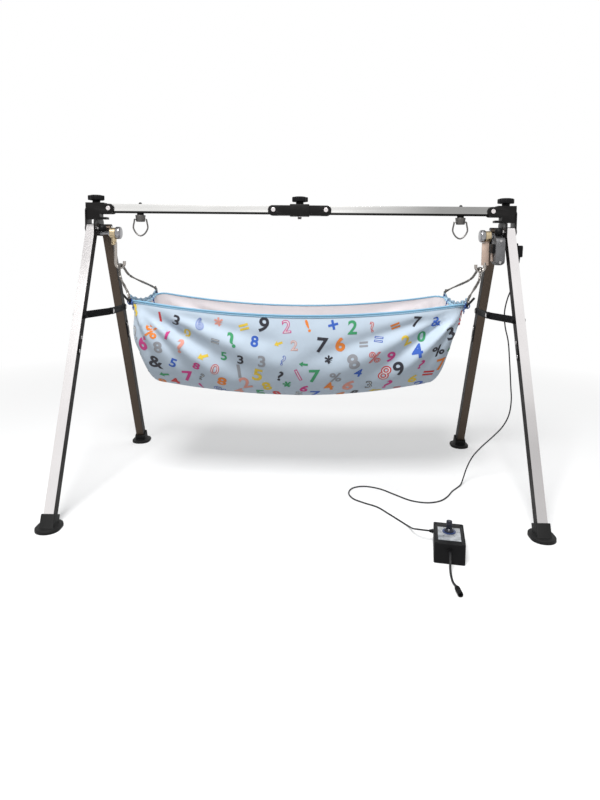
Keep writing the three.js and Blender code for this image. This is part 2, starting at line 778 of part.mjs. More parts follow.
/**
 * A point of the hammock. index goes round it, down goes from 0 at the rim to 1 at the bottom,
 * and inset is how far inside the outer face it lies.
 */
function hammockPoint(index, down, inset) {
  const slope = down * Math.PI / 2;
  const fall = Math.sin(slope) ** 0.95;
  const widthShare = Math.cos(slope) ** 0.8;
  const left = [1, 2].includes(Math.floor(index / hammockQuarter));
  const swell = left ? hammockSwell * THREE.MathUtils.smoothstep(fall, 0, swellBy) : 0;
  const lengthShare = 1 - 0.11 * fall - 0.04 * fall ** 8 + swell;
  const belly = hammockBelly * Math.sin(Math.PI * fall);
  const halfLength = hammockHalfLength * lengthShare;
  const halfWidth = hammockHalfWidth * widthShare + belly;
  const radius = hammockRound * widthShare;
  const [x, y, outX, outY] = walkRound(index, halfLength - inset, halfWidth - inset, radius);
  const [along, across] = [x / halfLength, y / halfWidth];
  const rim = rimHeight(along, across);
  const keelRise = left ? hammockKeelLeft : hammockKeel;
  const keel = hammockCorner - hammockDepth + keelRise * (x / hammockHalfLength) ** 2;
  const z = rim - (rim - keel) * fall + inset * fall;
  const fold = foldAt(hammockHalfLength - Math.abs(x), hammockCorner - z) * widthShare;
  return [x + fold * outX, axleY + y + fold * outY, z];
}

/** The hammock: a deep cloth trough with an outer and an inner face joined at the rim. */
function buildHammock() {
  const around = 4 * hammockQuarter;
  const last = hammockRows - 1;
  const points = [];
  const faces = [];
  const layer = (inset) => {
    const first = points.length / 3;
    for (let row = 0; row < hammockRows; row += 1) {
      for (let i = 0; i < around; i += 1) {
        points.push(...hammockPoint(i, row / hammockRows, inset));
      }
    }
    return first;
  };
  const outer = layer(0);
  const inner = layer(hammockWall);
  const quad = (a, b, c, d) => {
    faces.push(a, b, c);
    faces.push(a, c, d);
  };
  for (let i = 0; i < around; i += 1) {
    const next = (i + 1) % around;
    for (let row = 0; row < last; row += 1) {
      const [upper, lower] = [row * around, (row + 1) * around];
      quad(outer + upper + i, outer + lower + i, outer + lower + next, outer + upper + next);
      quad(inner + upper + i, inner + upper + next, inner + lower + next, inner + lower + i);
    }
    quad(outer + i, outer + next, inner + next, inner + i);
  }
  const [under, over] = [outer + last * around, inner + last * around];
  const half = around / 2;
  faces.push(under, under + around - 1, under + 1);
  faces.push(over, over + 1, over + around - 1);
  for (let i = 1; i < half - 1; i += 1) {
    quad(under + i, under + around - i, under + around - i - 1, under + i + 1);
    quad(over + i, over + i + 1, over + around - i - 1, over + around - i);
  }
  faces.push(under + half, under + half - 1, under + half + 1);
  faces.push(over + half, over + half + 1, over + half - 1);
  const geometry = new THREE.BufferGeometry();
  geometry.setAttribute('position', new THREE.Float32BufferAttribute(points, 3));
  geometry.setIndex(faces);
  geometry.computeVertexNormals();
  add('hammock', geometry, cloth);
}

/** The middle line of a spreader rod, beside the hammock's end at a share of the half width. */
function spreaderPoint(side, share) {
  const out = hammockHalfLength + rodTipRadius;
  return [side * out, share * hammockHalfWidth, rimHeight(1, share) - rodTipRadius / 2];
}

/** The wire hanger that hooks on one arm and spreads to the ends of the spreader rod. */
function buildHanger(side, name) {
  const apexX = rodX - hookRadius;
  const apexZ = hookHeight - hookRadius + rodRadius + wireRadius + 2 * gap;
  const [seatX, seatY, seatZ] = spreaderPoint(side, 1 - hangerInset / hammockHalfWidth);
  const endZ = seatZ + rodTipRadius + gap + wireRadius / 2;
  const half = [
    [seatX, seatY, endZ],
    [seatX, seatY, endZ + hangerEnd],
    [side * (apexX - hangerBendIn), hangerBendY, apexZ - hangerBendDrop],
    [side * (apexX - hangerShoulderIn), hangerShoulderY, apexZ - hangerShoulderDrop],
    [side * apexX, hangerSaddle, apexZ],
  ];
  const back = half.map(([x, y, z]) => [x, axleY + y, z]);
  const front = half.map(([x, y, z]) => [x, axleY - y, z]).reverse();
  const path = [...back, [side * apexX, axleY, apexZ], ...front];
  add(`${name}_hanger`, tubeAlong(path, wireRadius, wireSides, hangerSteps), steel);
}

/** The bowed rod that keeps one end of the hammock spread. */
function buildSpreader(side, name) {
  const spanShares = [1, 1 - hangerInset / hammockHalfWidth, 0.7, 0.4, 0];
  const half = spanShares.map((share) => spreaderPoint(side, share));
  const [endX, endY] = half[0];
  const tip = [endX + side * rodTipOut, endY + rodTipY, hammockCorner + rodTipRise];
  const back = [tip, ...half].map(([x, y, z]) => [x, axleY + y, z]);
  const front = [tip, ...half.slice(0, -1)].map(([x, y, z]) => [x, axleY - y, z]).reverse();
  add(`${name}_spreader`, tubeAlong([...back, ...front], rodTipRadius, wireSides, spreaderSteps), blackMetal);
}

/** A swivel and a ring under the beam, for hanging something else from it. */
function buildRing(side, name) {
  const x = side * ringX;
  const under = beamHeight - tubeHalf - gap;
  const over = beamHeight + tubeHalf + gap;
  const swivelTop = under - ringSpacer - gap;
  const pivot = swivelTop - swivelHeight + ringWireRadius + swivelNotch / 2;
  add(`${name}_ring_bolt`, join(
    barZ(ringNutRadius, over, over + ringNut, x, 0, ringNutRadius / 2, 6),
    barZ(ringStudRadius, swivelTop - ringStudDepth, over + overrun, x, 0),
    barZ(ringSpacerRadius, under - ringSpacer, under, x, 0),
  ), blackMetal);
  const low = swivelTop - swivelHeight;
  add(`${name}_ring_swivel`, cut(
    barZ(swivelRadius - ringWireRadius, low, swivelTop, x, 0, swivelRadius),
    barZ(ringStudRadius + gap, swivelTop - ringStudDepth - gap, swivelTop + overrun, x, 0),
    barX(ringWireRadius + gap, x - tubeSide, x + tubeSide, 0, pivot),
    block(x - tubeSide, x + tubeSide, -ringWireRadius - gap, ringWireRadius + gap, low - overrun, pivot),
  ), castMetal);
  const shares = [[0.93, -0.14], [1.06, -0.42], [1.04, -0.56], [0.6, -0.87]];
  const drop = (share) => pivot + share * ringDrop;
  const right = shares.map(([w, d]) => [x + w * (ringHalfWidth - ringWireRadius), 0, drop(d)]);
  const left = shares.map(([w, d]) => [x - w * (ringHalfWidth - ringWireRadius), 0, drop(d)]).reverse();
  const top = swivelRadius + gap + ringWireRadius;
  const path = [[x + top, 0, pivot], ...right, [x, 0, drop(-1)], ...left, [x - top, 0, pivot]];
  add(`${name}_ring`, join(
    tubeAlong(path, ringWireRadius, wireSides, ringSteps),
    barX(ringWireRadius, x - top - overrun, x + top + overrun, 0, pivot, wireSides),
  ), chrome);
}

/** The drive: a cast housing on the right head's plate, with its coil and pole. */
function buildDrive() {
  const [inner, outer] = [driveInnerX, driveOuterX];
  const neck = plateX(rounded(-driveNeckFront, -driveBack, driveBottom, driveNeckTop, plateCorner), inner, outer);
  const body = plateX(rounded(-driveFront, -driveBack, driveBottom, driveTop, tubeHalf), inner, outer);
  const shaftHole = barX(axleRadius + gap, inner - overrun, outer + overrun, axleY, axleHeight);
  const pinRoom = barX(pinHeadRadius + gap, outer - pinHead - gap, outer + overrun, -legPivotY, legPivotHeight);
  const face = plateY(rounded(inner, outer, driveBottom, driveNeckTop + driveRound, driveRound),
    -driveFront - overrun, overrun);
  add('drive_housing', cut(common(join(neck, body), face), shaftHole, pinRoom), castMetal);
  const coilOuter = inner - gap;
  const coilInner = coilOuter - coilWidth;
  add('drive_coil', join(
    plateX(rounded(-coilFront, -coilBack, coilBottom, coilTop, coilCorner), coilInner, coilOuter),
    block(coilInner + coilWidth / 2, coilOuter, -coilFront / 2, -coilBack, poleBottom, coilTop - coilWidth),
  ), blackPlastic);
}

/** The jack box on the right head's outer plate and the plug that stands in it. */
function buildJack() {
  const plate = outerPlateX + plateThickness / 2 + gap;
  const jackEnd = plate + jackDepth;
  add('jack_box', plateX(rounded(-jackHalfWidth, jackHalfWidth, jackBottom, jackTop, jackCorner),
    plate, jackEnd), blackPlastic);
  const plugStart = jackEnd + gap;
  const middle = plugStart + plugDepth / 2;
  const [endX, endY, endZ] = driveCordRoute[0];
  const relief = new THREE.CylinderGeometry(reliefTopRadius, reliefEndRadius, plugBottom - endZ, roundSides);
  add('drive_plug', join(
    plateX(rounded(-plugHalfWidth, plugHalfWidth, plugBottom, plugTop, jackCorner),
      plugStart, plugStart + plugDepth),
    relief.rotateX(Math.PI / 2).translate(Math.min(endX, middle), endY, (plugBottom + endZ) / 2 + gap),
  ), blackPlastic);
}

/** The controller on the floor: base, lid, label plate, dial, potentiometer and board. */
function buildController() {
  const place = new THREE.Matrix4()
    .makeRotationZ(THREE.MathUtils.degToRad(boxTurnDegrees))
    .setPosition(boxX, boxY, 0);
  const put = (name, geometry, material) => add(name, geometry.applyMatrix4(place), material);
  const [w, l] = [boxWidth / 2, boxLength / 2];
  const lidBottom = boxHeight - lidThickness;
  const inner = boxWall + gap;
  put('box_base', cut(
    plateZ(rounded(-w, w, -l, l, boxCorner), 0, boxHeight),
    plateZ(rounded(-w + boxWall, w - boxWall, -l + boxWall, l - boxWall, boxCorner / 2),
      boxWall, boxHeight + overrun),
    barX(glandRadius * glandShare + gap, -w - overrun, -w + 2 * boxWall, driveGlandY, driveGlandZ),
    barY(glandRadius * glandShare + gap, -l - overrun, -l + 2 * boxWall, 0, supplyGlandZ),
  ), blackPlastic);
  put('box_lid', cut(
    plateZ(rounded(-w + inner, w - inner, -l + inner, l - inner, boxCorner / 2), lidBottom, boxHeight),
    barZ(shaftRadius + gap, lidBottom - overrun, boxHeight + overrun, 0, dialY),
  ), blackPlastic);
  const labelTop = boxHeight + gap + labelThickness;
  put('label_plate', cut(
    plateZ(rounded(-labelWidth / 2, labelWidth / 2, labelY - labelLength / 2, labelY + labelLength / 2,
      boxCorner / 2), boxHeight + gap, labelTop),
    barZ(shaftRadius + gap, boxHeight, labelTop + overrun, 0, dialY),
  ), silver);
  const dialBottom = labelTop + gap;
  const dialTop = dialBottom + dialSkirt + dialGrip;
  put('speed_dial', cut(
    join(
      barZ(dialRingRadius, dialBottom, dialBottom + dialRing, 0, dialY),
      barZ(dialSkirtRadius, dialBottom, dialBottom + dialSkirt, 0, dialY, dialGripRadius),
      barZ(dialGripRadius, dialBottom + dialSkirt / 2, dialTop, 0, dialY),
    ),
    barZ(shaftRadius + gap, dialBottom - overrun, boxHeight + shaftAboveLid + gap, 0, dialY),
  ), blackPlastic);
  const potTop = lidBottom - gap;
  put('potentiometer', join(
    barZ(potRadius, potTop - potHeight, potTop, 0, dialY),
    barZ(shaftRadius, potTop - overrun, boxHeight + shaftAboveLid, 0, dialY),
  ), castMetal);
  const boardBottom = boxWall + gap + boardPost;
  const posts = [[-1, -1], [1, -1], [1, 1], [-1, 1]].map(([sx, sy]) => barZ(
    postRadius, boxWall + gap, boardBottom + overrun,
    sx * (boardWidth / 2 - postRadius), sy * (boardLength / 2 - postRadius)));
  put('circuit_board', join(
    plateZ(rounded(-boardWidth / 2, boardWidth / 2, -boardLength / 2, boardLength / 2, postRadius),
      boardBottom, boardBottom + boardThickness),
    ...posts,
  ), finish(0x2f6b3a, 0.6, 0));
  put('drive_gland', join(
    barX(glandRadius, -w - gap - gland, -w - gap, driveGlandY, driveGlandZ),
    barX(glandRadius * glandShare, -w - gland, -w + boxWall, driveGlandY, driveGlandZ),
  ), rubber);
  put('supply_gland', join(
    barY(glandRadius, -l - gap - gland, -l - gap, 0, supplyGlandZ),
    barY(glandRadius * glandShare, -l - gland, -l + boxWall, 0, supplyGlandZ),
  ), rubber);
}

/** The lead from the drive to the controller, the supply lead and its in-line socket. */
function buildCords() {
  add('drive_lead', tubeAlong(driveCordRoute, driveCordRadius, cordSides, driveCordSteps), rubber);
  add('supply_lead', tubeAlong(supplyCordRoute, supplyCordRadius, cordSides, supplyCordSteps), rubber);
  const [last, before] = [supplyCordRoute.at(-1), supplyCordRoute.at(-2)];
  const heading = Math.atan2(last[0] - before[0], before[1] - last[1]);
  const socket = cut(
    barY(socketRadius, -2 * gap, -socketLength, 0, 0),
    barY(socketBore, -socketLength + socketBoreDepth, -socketLength - overrun, 0, 0),
  );
  add('supply_socket', socket.rotateZ(heading).translate(last[0], last[1], last[2]), blackPlastic);
}

buildCentre();
buildHammock();
for (const [side, name] of [[-1, 'left'], [1, 'right']]) {
  buildBeam(side, name);
  buildHead(side, name);
  buildPins(side, name);
  buildAxle(side, name);
  buildArm(side, name);
  buildHanger(side, name);
  buildSpreader(side, name);
  buildRing(side, name);
  buildStay(side, name);
  for (const [depth, end] of [[-1, 'front'], [1, 'back']]) {
    buildLeg(side, depth, `${name}_${end}`);
    buildFoot(side, depth, `${name}_${end}`);
  }
}
buildDrive();
buildJack();
buildController();
buildCords();

export default model;
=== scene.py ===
"""Looks of a hanging baby cradle: a folding steel stand with a cloth hammock and a swing drive.

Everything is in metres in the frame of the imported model: +X along the beam towards the drive,
+Y away from the viewer, +Z up, with the origin on the floor under the middle of the beam.
"""

from __future__ import annotations

import itertools
import json
import logging
import math
import random
from dataclasses import dataclass, field
from enum import Enum
from typing import Callable, Iterable, Sequence

import bmesh
import bpy
from mathutils import Matrix, Vector
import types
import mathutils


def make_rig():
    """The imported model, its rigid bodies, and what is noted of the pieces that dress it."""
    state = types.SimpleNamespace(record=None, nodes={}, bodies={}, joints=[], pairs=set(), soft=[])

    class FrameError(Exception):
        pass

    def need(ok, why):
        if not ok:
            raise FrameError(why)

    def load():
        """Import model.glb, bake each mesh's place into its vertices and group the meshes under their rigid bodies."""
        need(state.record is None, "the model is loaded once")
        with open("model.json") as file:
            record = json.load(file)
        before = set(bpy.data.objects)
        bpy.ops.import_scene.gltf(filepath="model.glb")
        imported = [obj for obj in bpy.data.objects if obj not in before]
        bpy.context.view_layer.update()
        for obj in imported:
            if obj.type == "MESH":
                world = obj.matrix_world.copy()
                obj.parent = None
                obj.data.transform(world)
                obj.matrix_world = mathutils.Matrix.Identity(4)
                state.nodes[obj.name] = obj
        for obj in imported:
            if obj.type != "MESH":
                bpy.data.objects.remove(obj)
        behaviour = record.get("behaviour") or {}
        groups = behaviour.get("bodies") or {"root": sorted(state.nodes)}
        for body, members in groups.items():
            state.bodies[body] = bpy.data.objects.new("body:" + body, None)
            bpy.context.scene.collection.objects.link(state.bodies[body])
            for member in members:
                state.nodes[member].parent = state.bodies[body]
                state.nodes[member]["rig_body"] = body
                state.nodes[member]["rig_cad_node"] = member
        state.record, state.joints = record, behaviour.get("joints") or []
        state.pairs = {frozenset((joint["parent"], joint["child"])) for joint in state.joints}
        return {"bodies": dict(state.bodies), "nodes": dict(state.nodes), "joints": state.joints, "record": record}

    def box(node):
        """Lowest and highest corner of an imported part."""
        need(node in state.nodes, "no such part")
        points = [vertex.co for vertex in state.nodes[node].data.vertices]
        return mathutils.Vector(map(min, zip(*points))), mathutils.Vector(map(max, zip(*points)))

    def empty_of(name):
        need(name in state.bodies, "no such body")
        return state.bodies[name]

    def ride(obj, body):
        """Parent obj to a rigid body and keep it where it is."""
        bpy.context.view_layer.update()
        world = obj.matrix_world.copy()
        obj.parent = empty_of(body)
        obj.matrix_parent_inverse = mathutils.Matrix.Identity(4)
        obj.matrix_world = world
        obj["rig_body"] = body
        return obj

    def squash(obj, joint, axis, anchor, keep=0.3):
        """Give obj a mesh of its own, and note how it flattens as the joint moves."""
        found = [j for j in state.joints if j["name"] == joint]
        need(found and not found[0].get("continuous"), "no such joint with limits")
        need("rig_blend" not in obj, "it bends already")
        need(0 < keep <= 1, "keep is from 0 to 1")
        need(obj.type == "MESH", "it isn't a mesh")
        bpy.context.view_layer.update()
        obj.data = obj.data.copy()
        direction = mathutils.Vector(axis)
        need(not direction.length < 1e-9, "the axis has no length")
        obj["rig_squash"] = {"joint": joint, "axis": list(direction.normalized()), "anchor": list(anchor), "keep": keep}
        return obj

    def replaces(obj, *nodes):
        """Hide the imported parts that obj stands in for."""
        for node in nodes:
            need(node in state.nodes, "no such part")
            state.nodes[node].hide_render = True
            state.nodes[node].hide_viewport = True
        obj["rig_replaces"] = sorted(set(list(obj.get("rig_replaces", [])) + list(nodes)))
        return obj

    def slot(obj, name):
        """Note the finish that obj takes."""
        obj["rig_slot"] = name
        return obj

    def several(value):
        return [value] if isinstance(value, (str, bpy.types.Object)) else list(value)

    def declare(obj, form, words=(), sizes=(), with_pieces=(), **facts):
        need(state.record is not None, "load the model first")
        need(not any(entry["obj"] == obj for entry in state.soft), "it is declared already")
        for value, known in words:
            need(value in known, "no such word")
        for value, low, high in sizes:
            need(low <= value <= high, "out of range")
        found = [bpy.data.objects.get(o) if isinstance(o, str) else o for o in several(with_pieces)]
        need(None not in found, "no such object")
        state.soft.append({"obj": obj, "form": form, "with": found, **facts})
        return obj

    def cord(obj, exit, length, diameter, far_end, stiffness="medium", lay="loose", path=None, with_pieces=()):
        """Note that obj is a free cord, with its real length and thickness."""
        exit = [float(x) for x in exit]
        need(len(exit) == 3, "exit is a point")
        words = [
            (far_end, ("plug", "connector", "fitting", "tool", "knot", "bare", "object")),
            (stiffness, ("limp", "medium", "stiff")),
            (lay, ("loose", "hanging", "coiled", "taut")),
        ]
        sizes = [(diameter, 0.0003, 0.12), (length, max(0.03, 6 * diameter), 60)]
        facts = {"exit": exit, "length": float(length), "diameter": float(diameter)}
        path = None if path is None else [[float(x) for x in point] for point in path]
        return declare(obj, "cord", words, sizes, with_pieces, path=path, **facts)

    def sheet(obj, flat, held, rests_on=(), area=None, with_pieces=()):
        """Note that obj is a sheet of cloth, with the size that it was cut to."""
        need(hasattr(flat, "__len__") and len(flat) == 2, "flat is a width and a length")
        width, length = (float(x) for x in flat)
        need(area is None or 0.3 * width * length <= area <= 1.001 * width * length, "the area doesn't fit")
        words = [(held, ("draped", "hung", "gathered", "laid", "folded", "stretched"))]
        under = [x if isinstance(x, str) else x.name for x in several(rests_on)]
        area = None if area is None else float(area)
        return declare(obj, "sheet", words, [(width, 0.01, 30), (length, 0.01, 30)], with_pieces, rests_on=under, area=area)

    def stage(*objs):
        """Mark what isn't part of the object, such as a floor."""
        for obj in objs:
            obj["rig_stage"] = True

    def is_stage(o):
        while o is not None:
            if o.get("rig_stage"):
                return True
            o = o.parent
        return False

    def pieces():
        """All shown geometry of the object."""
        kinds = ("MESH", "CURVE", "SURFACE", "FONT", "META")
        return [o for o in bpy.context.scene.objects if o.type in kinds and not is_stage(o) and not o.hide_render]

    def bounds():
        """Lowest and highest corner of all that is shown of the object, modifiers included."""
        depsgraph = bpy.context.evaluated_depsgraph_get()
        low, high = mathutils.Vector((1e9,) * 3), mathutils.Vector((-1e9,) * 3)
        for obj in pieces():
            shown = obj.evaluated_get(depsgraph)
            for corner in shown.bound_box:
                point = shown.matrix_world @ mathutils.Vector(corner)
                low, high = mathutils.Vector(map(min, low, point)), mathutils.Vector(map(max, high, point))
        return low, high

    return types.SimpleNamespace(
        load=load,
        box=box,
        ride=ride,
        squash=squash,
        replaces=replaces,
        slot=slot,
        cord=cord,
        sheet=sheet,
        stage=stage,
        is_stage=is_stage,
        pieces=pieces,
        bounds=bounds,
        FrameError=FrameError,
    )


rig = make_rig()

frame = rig.load()
cad_low, cad_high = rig.bounds()

log = logging.getLogger("cradle")

Point = tuple[float, float, float]
Color = tuple[float, float, float]
Corner = tuple[float, float]
Mesh = bmesh.types.BMesh
Piece = bpy.types.Object
Material = bpy.types.Material
Socket = bpy.types.NodeSocket

MERGE = 1e-6
LEG_LEAN = math.radians(24.17)
FALLS = [i / 60 for i in range(61)]
SIDES = (("left", -1), ("right", 1))
QUARTER_TURN = math.pi / 2
FULL_TURN = 2 * math.pi


class Axis(Enum):
    """The direction that a turned shape's own Z is laid along."""

    X = "x"
    Y = "y"
    Z = "z"

    def place(self, centre: Sequence[float], side: int = 1) -> Matrix:
        """The matrix that lays local Z along this axis, towards side, from centre on."""
        turns = {
            Axis.X: Matrix.Rotation(side * QUARTER_TURN, 4, "Y"),
            Axis.Y: Matrix.Rotation(-side * QUARTER_TURN, 4, "X"),
            Axis.Z: Matrix.Identity(4),
        }
        return Matrix.Translation(Vector(centre)) @ turns[self]


def at(x: float, y: float, z: float) -> Matrix:
    """The matrix that moves the origin to x, y and z."""
    return Matrix.Translation((x, y, z))


def aimed(start: Vector, end: Vector) -> Matrix:
    """The matrix that moves the origin to start and lays local Z towards end."""
    aim = (end - start).normalized().to_track_quat("Z", "Y")
    return Matrix.Translation(start) @ aim.to_matrix().to_4x4()


def angles(steps: int, start: float = 0.0, span: float = FULL_TURN,
           last: bool = False) -> list[float]:
    """Angles spread evenly over a span; last adds the one at its end."""
    return [start + span * i / steps for i in range(steps + last)]


def smooth_path(points: Sequence[Sequence[float]], per_span: int = 8) -> list[Vector]:
    """A smooth line through the points, by centripetal Catmull-Rom spans.

    Args:
        points: the points that the line passes through.
        per_span: how many steps each span between two points gets.

    Returns:
        The points along the line, ends included.
    """
    given = [Vector(p) for p in points]
    padded = [2 * given[0] - given[1], *given, 2 * given[-1] - given[-2]]
    line: list[Vector] = []
    for p0, p1, p2, p3 in zip(padded, padded[1:], padded[2:], padded[3:]):
        t1 = math.sqrt((p1 - p0).length)
        t2 = t1 + math.sqrt((p2 - p1).length)
        t3 = t2 + math.sqrt((p3 - p2).length)
        for step in range(per_span):
            t = t1 + (t2 - t1) * step / per_span
            a1 = p0.lerp(p1, t / t1)
            a2 = p1.lerp(p2, (t - t1) / (t2 - t1))
            a3 = p2.lerp(p3, (t - t2) / (t3 - t2))
            b1 = a1.lerp(a2, t / t2)
            b2 = a2.lerp(a3, (t - t1) / (t3 - t1))
            line.append(b1.lerp(b2, (t - t1) / (t2 - t1)))
    line.append(given[-1])
    return line


def path_length(line: Sequence[Vector]) -> float:
    """The length of a line of points."""
    return sum((b - a).length for a, b in zip(line, line[1:]))


class Shape:
    """Makers of bmesh shapes. Each returns a new bmesh that a Workpiece takes over."""

    flat_angle = math.radians(1)
    sharp_angle = math.radians(50)

    @staticmethod
    def turned(profile: Sequence[tuple[float, float]], sides: int = 32) -> Mesh:
        """A shape turned on a lathe about Z.

        Args:
            profile: radius and height of each corner, from one end to the other.
            sides: how many steps the full turn has.

        Returns:
            The turned shape.
        """
        part = bmesh.new()
        corners = [part.verts.new((radius, 0, height)) for radius, height in profile]
        edges = [part.edges.new(pair) for pair in zip(corners, corners[1:])]
        bmesh.ops.spin(
            part, geom=corners + edges, axis=(0, 0, 1), cent=(0, 0, 0), steps=sides,
            angle=FULL_TURN, use_merge=True,
        )
        return part

    @staticmethod
    def rod(radius: float, length: float, edge: float = 0.0, sides: int = 32) -> Mesh:
        """A round bar along Z from 0 to length, with its rims chamfered by edge.

        Args:
            radius: its radius.
            length: its length.
            edge: how much each rim is rounded.
            sides: how many sides the round has.

        Returns:
            The bar.
        """
        lean = 0.3 * edge
        profile = [
            (0, 0), (radius - edge, 0), (radius - lean, lean), (radius, edge),
            (radius, length - edge), (radius - lean, length - lean), (radius - edge, length),
            (0, length),
        ]
        return Shape.turned(profile, sides)

    @staticmethod
    def dome(radius: float, height: float, sides: int = 32) -> Mesh:
        """A low domed head on z = 0, as on a rivet."""
        arc = [(radius * math.cos(t), height * math.sin(t)) for t in angles(6, span=QUARTER_TURN)]
        return Shape.turned([(0, 0), *arc, (0, height)], sides)

    @staticmethod
    def slab(low: Sequence[float], high: Sequence[float], rim: float = 0.0,
             steps: int = 3) -> Mesh:
        """A block between two corners with all its edges rounded.

        Args:
            low: its lowest corner.
            high: its highest corner.
            rim: the radius of its edges.
            steps: how many steps each rounded edge has.

        Returns:
            The block.
        """
        part = bmesh.new()
        bmesh.ops.create_cube(part, size=1.0)
        size = Vector(high) - Vector(low)
        middle = (Vector(high) + Vector(low)) / 2
        bmesh.ops.scale(part, vec=size, verts=part.verts)
        bmesh.ops.translate(part, vec=middle, verts=part.verts)
        if rim:
            Shape.bevel(part, part.edges[:], rim, steps)
        return part

    @staticmethod
    def bevel(part: Mesh, edges: Iterable, width: float, steps: int = 2) -> None:
        """Rounds some edges of a shape.

        Args:
            part: the shape.
            edges: the edges that are rounded.
            width: the width that each rounding takes from a face.
            steps: how many steps it has.
        """
        bmesh.ops.bevel(
            part, geom=list(edges), offset=width, offset_type="OFFSET", segments=steps,
            profile=0.5, affect="EDGES", clamp_overlap=True, material=-1,
        )

    @staticmethod
    def plate(outline: Sequence[tuple[float, float]], thickness: float, rim: float = 0.0,
              steps: int = 2) -> Mesh:
        """A flat plate on z = 0 of an outline in X and Y.

        Args:
            outline: its corners in order.
            thickness: how far it is extruded along Z.
            rim: how much its upper and lower edges are rounded.
            steps: how many steps the rounding has.

        Returns:
            The plate.
        """
        part = bmesh.new()
        face = part.faces.new([part.verts.new((x, y, 0)) for x, y in outline])
        grown = bmesh.ops.extrude_face_region(part, geom=[face])
        lifted = [v for v in grown["geom"] if isinstance(v, bmesh.types.BMVert)]
        bmesh.ops.translate(part, vec=(0, 0, thickness), verts=lifted)
        if rim:
            level = [e for e in part.edges if abs(e.verts[0].co.z - e.verts[1].co.z) < MERGE]
            Shape.bevel(part, level, rim, steps)
        return part

    @staticmethod
    def bent(line: Sequence[Sequence[float]], radius: float, closed: bool = False,
             round_steps: int = 3) -> Mesh:
        """A round wire along a line of points.

        Args:
            line: the points, close enough together to look smooth.
            radius: the wire's radius.
            closed: whether its ends meet.
            round_steps: how finely its section is rounded.

        Returns:
            The wire.
        """
        curve = lay_curve("wire", line, radius, closed, round_steps)
        holder = bpy.data.objects.new("wire", curve)
        part = mesh_of(holder)
        bpy.data.curves.remove(curve)
        return part

    @staticmethod
    def node_copy(node: str, rim: float, steps: int = 2) -> Mesh:
        """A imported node's own solid, merged, with its sharp edges rounded.

        Args:
            node: the node's name.
            rim: the width of the rounding.
            steps: how many steps it has.

        Returns:
            The rounded copy.
        """
        part = bmesh.new()
        part.from_mesh(frame["nodes"][node].data)
        bmesh.ops.remove_doubles(part, verts=part.verts, dist=MERGE)
        bmesh.ops.dissolve_limit(
            part, angle_limit=Shape.flat_angle, verts=part.verts, edges=part.edges)
        inner = [e for e in part.edges if len(e.link_faces) == 2]
        Shape.bevel(part, [e for e in inner if e.calc_face_angle() > Shape.sharp_angle], rim, steps)
        return part


class Profile(Enum):
    """The turned parts: the steps of the full turn, and radius and height of each corner."""

    DOMED_HEAD = (28, ((0, 0), (1, 0), (1, 0.25), (0.86, 0.72), (0.5, 0.95), (0, 1)))
    DIMPLED_HEAD = (32, (
        (0, 0), (1, 0), (1, 0.3), (0.88, 0.78), (0.5, 1), (0.3, 1), (0.2, 0.8), (0, 0.75)))
    KNOB_DISH = (48, (
        (0, 0), (0.015, 0), (0.015, 0.001), (0.0138, 0.0012), (0.0128, 0.0004),
        (0.0062, 0.0002), (0.0056, 0.001), (0, 0.0012)))
    KNOB_STEM = (40, (
        (0, 0), (0.0102, 0), (0.011, 0.0008), (0.011, 0.0052), (0.0125, 0.0071), (0, 0.0071)))
    LOCK_SCREW = (24, (
        (0, 0.009), (0.0055, 0.009), (0.0055, 0.0125), (0.0042, 0.013), (0.0022, 0.013),
        (0.0022, 0.0199), (0, 0.0199)))
    AXLE_CAP = (56, (
        (0, 0), (0.0128, 0), (0.0146, 0.0004), (0.0166, 0.0016), (0.0176, 0.0032),
        (0.018, 0.005), (0.018, 0.0126), (0.0174, 0.0139), (0.005, 0.0139), (0.005, 0.0672),
        (0, 0.0672)))
    ARM_EYE = (48, (
        (0.0051, 0), (0.0138, 0), (0.015, 0.0012), (0.015, 0.0158), (0.0138, 0.017),
        (0.0051, 0.017), (0.0051, 0)))
    ARM_NECK = (32, (
        (0, 0), (0.0052, 0), (0.0064, 0.0012), (0.0075, 0.003), (0.0075, 0.0068),
        (0.0066, 0.008), (0.0075, 0.0092), (0.0075, 0.024), (0, 0.024)))
    TIE_KNOT = (14, (
        (0, -0.003), (0.0028, -0.0015), (0.0032, 0.0004), (0.002, 0.0028), (0, 0.0034)))
    BOX_SCREW = (20, ((0, 0), (0.0024, 0), (0.0024, 0.0006), (0.0016, 0.0011), (0, 0.0008)))
    DIAL_COLLAR = (56, (
        (0, 0), (0.0147, 0), (0.015, 0.0003), (0.015, 0.0011), (0.0144, 0.0015), (0, 0.0015)))
    DIAL_SKIRT = (48, (
        (0, 0.0015), (0.0108, 0.0015), (0.011, 0.0019), (0.0106, 0.0034), (0.0082, 0.0068),
        (0.0066, 0.0085), (0, 0.0085)))
    DIAL_CAP = (32, ((0, 0), (0.0048, 0), (0.0046, 0.0002), (0, 0.0002)))

    def turned(self, radius: float = 1.0, height: float = 1.0) -> Mesh:
        """The turned shape; the heads are given by their share of a radius and a height."""
        sides, corners = self.value
        return Shape.turned([(r * radius, h * height) for r, h in corners], sides)


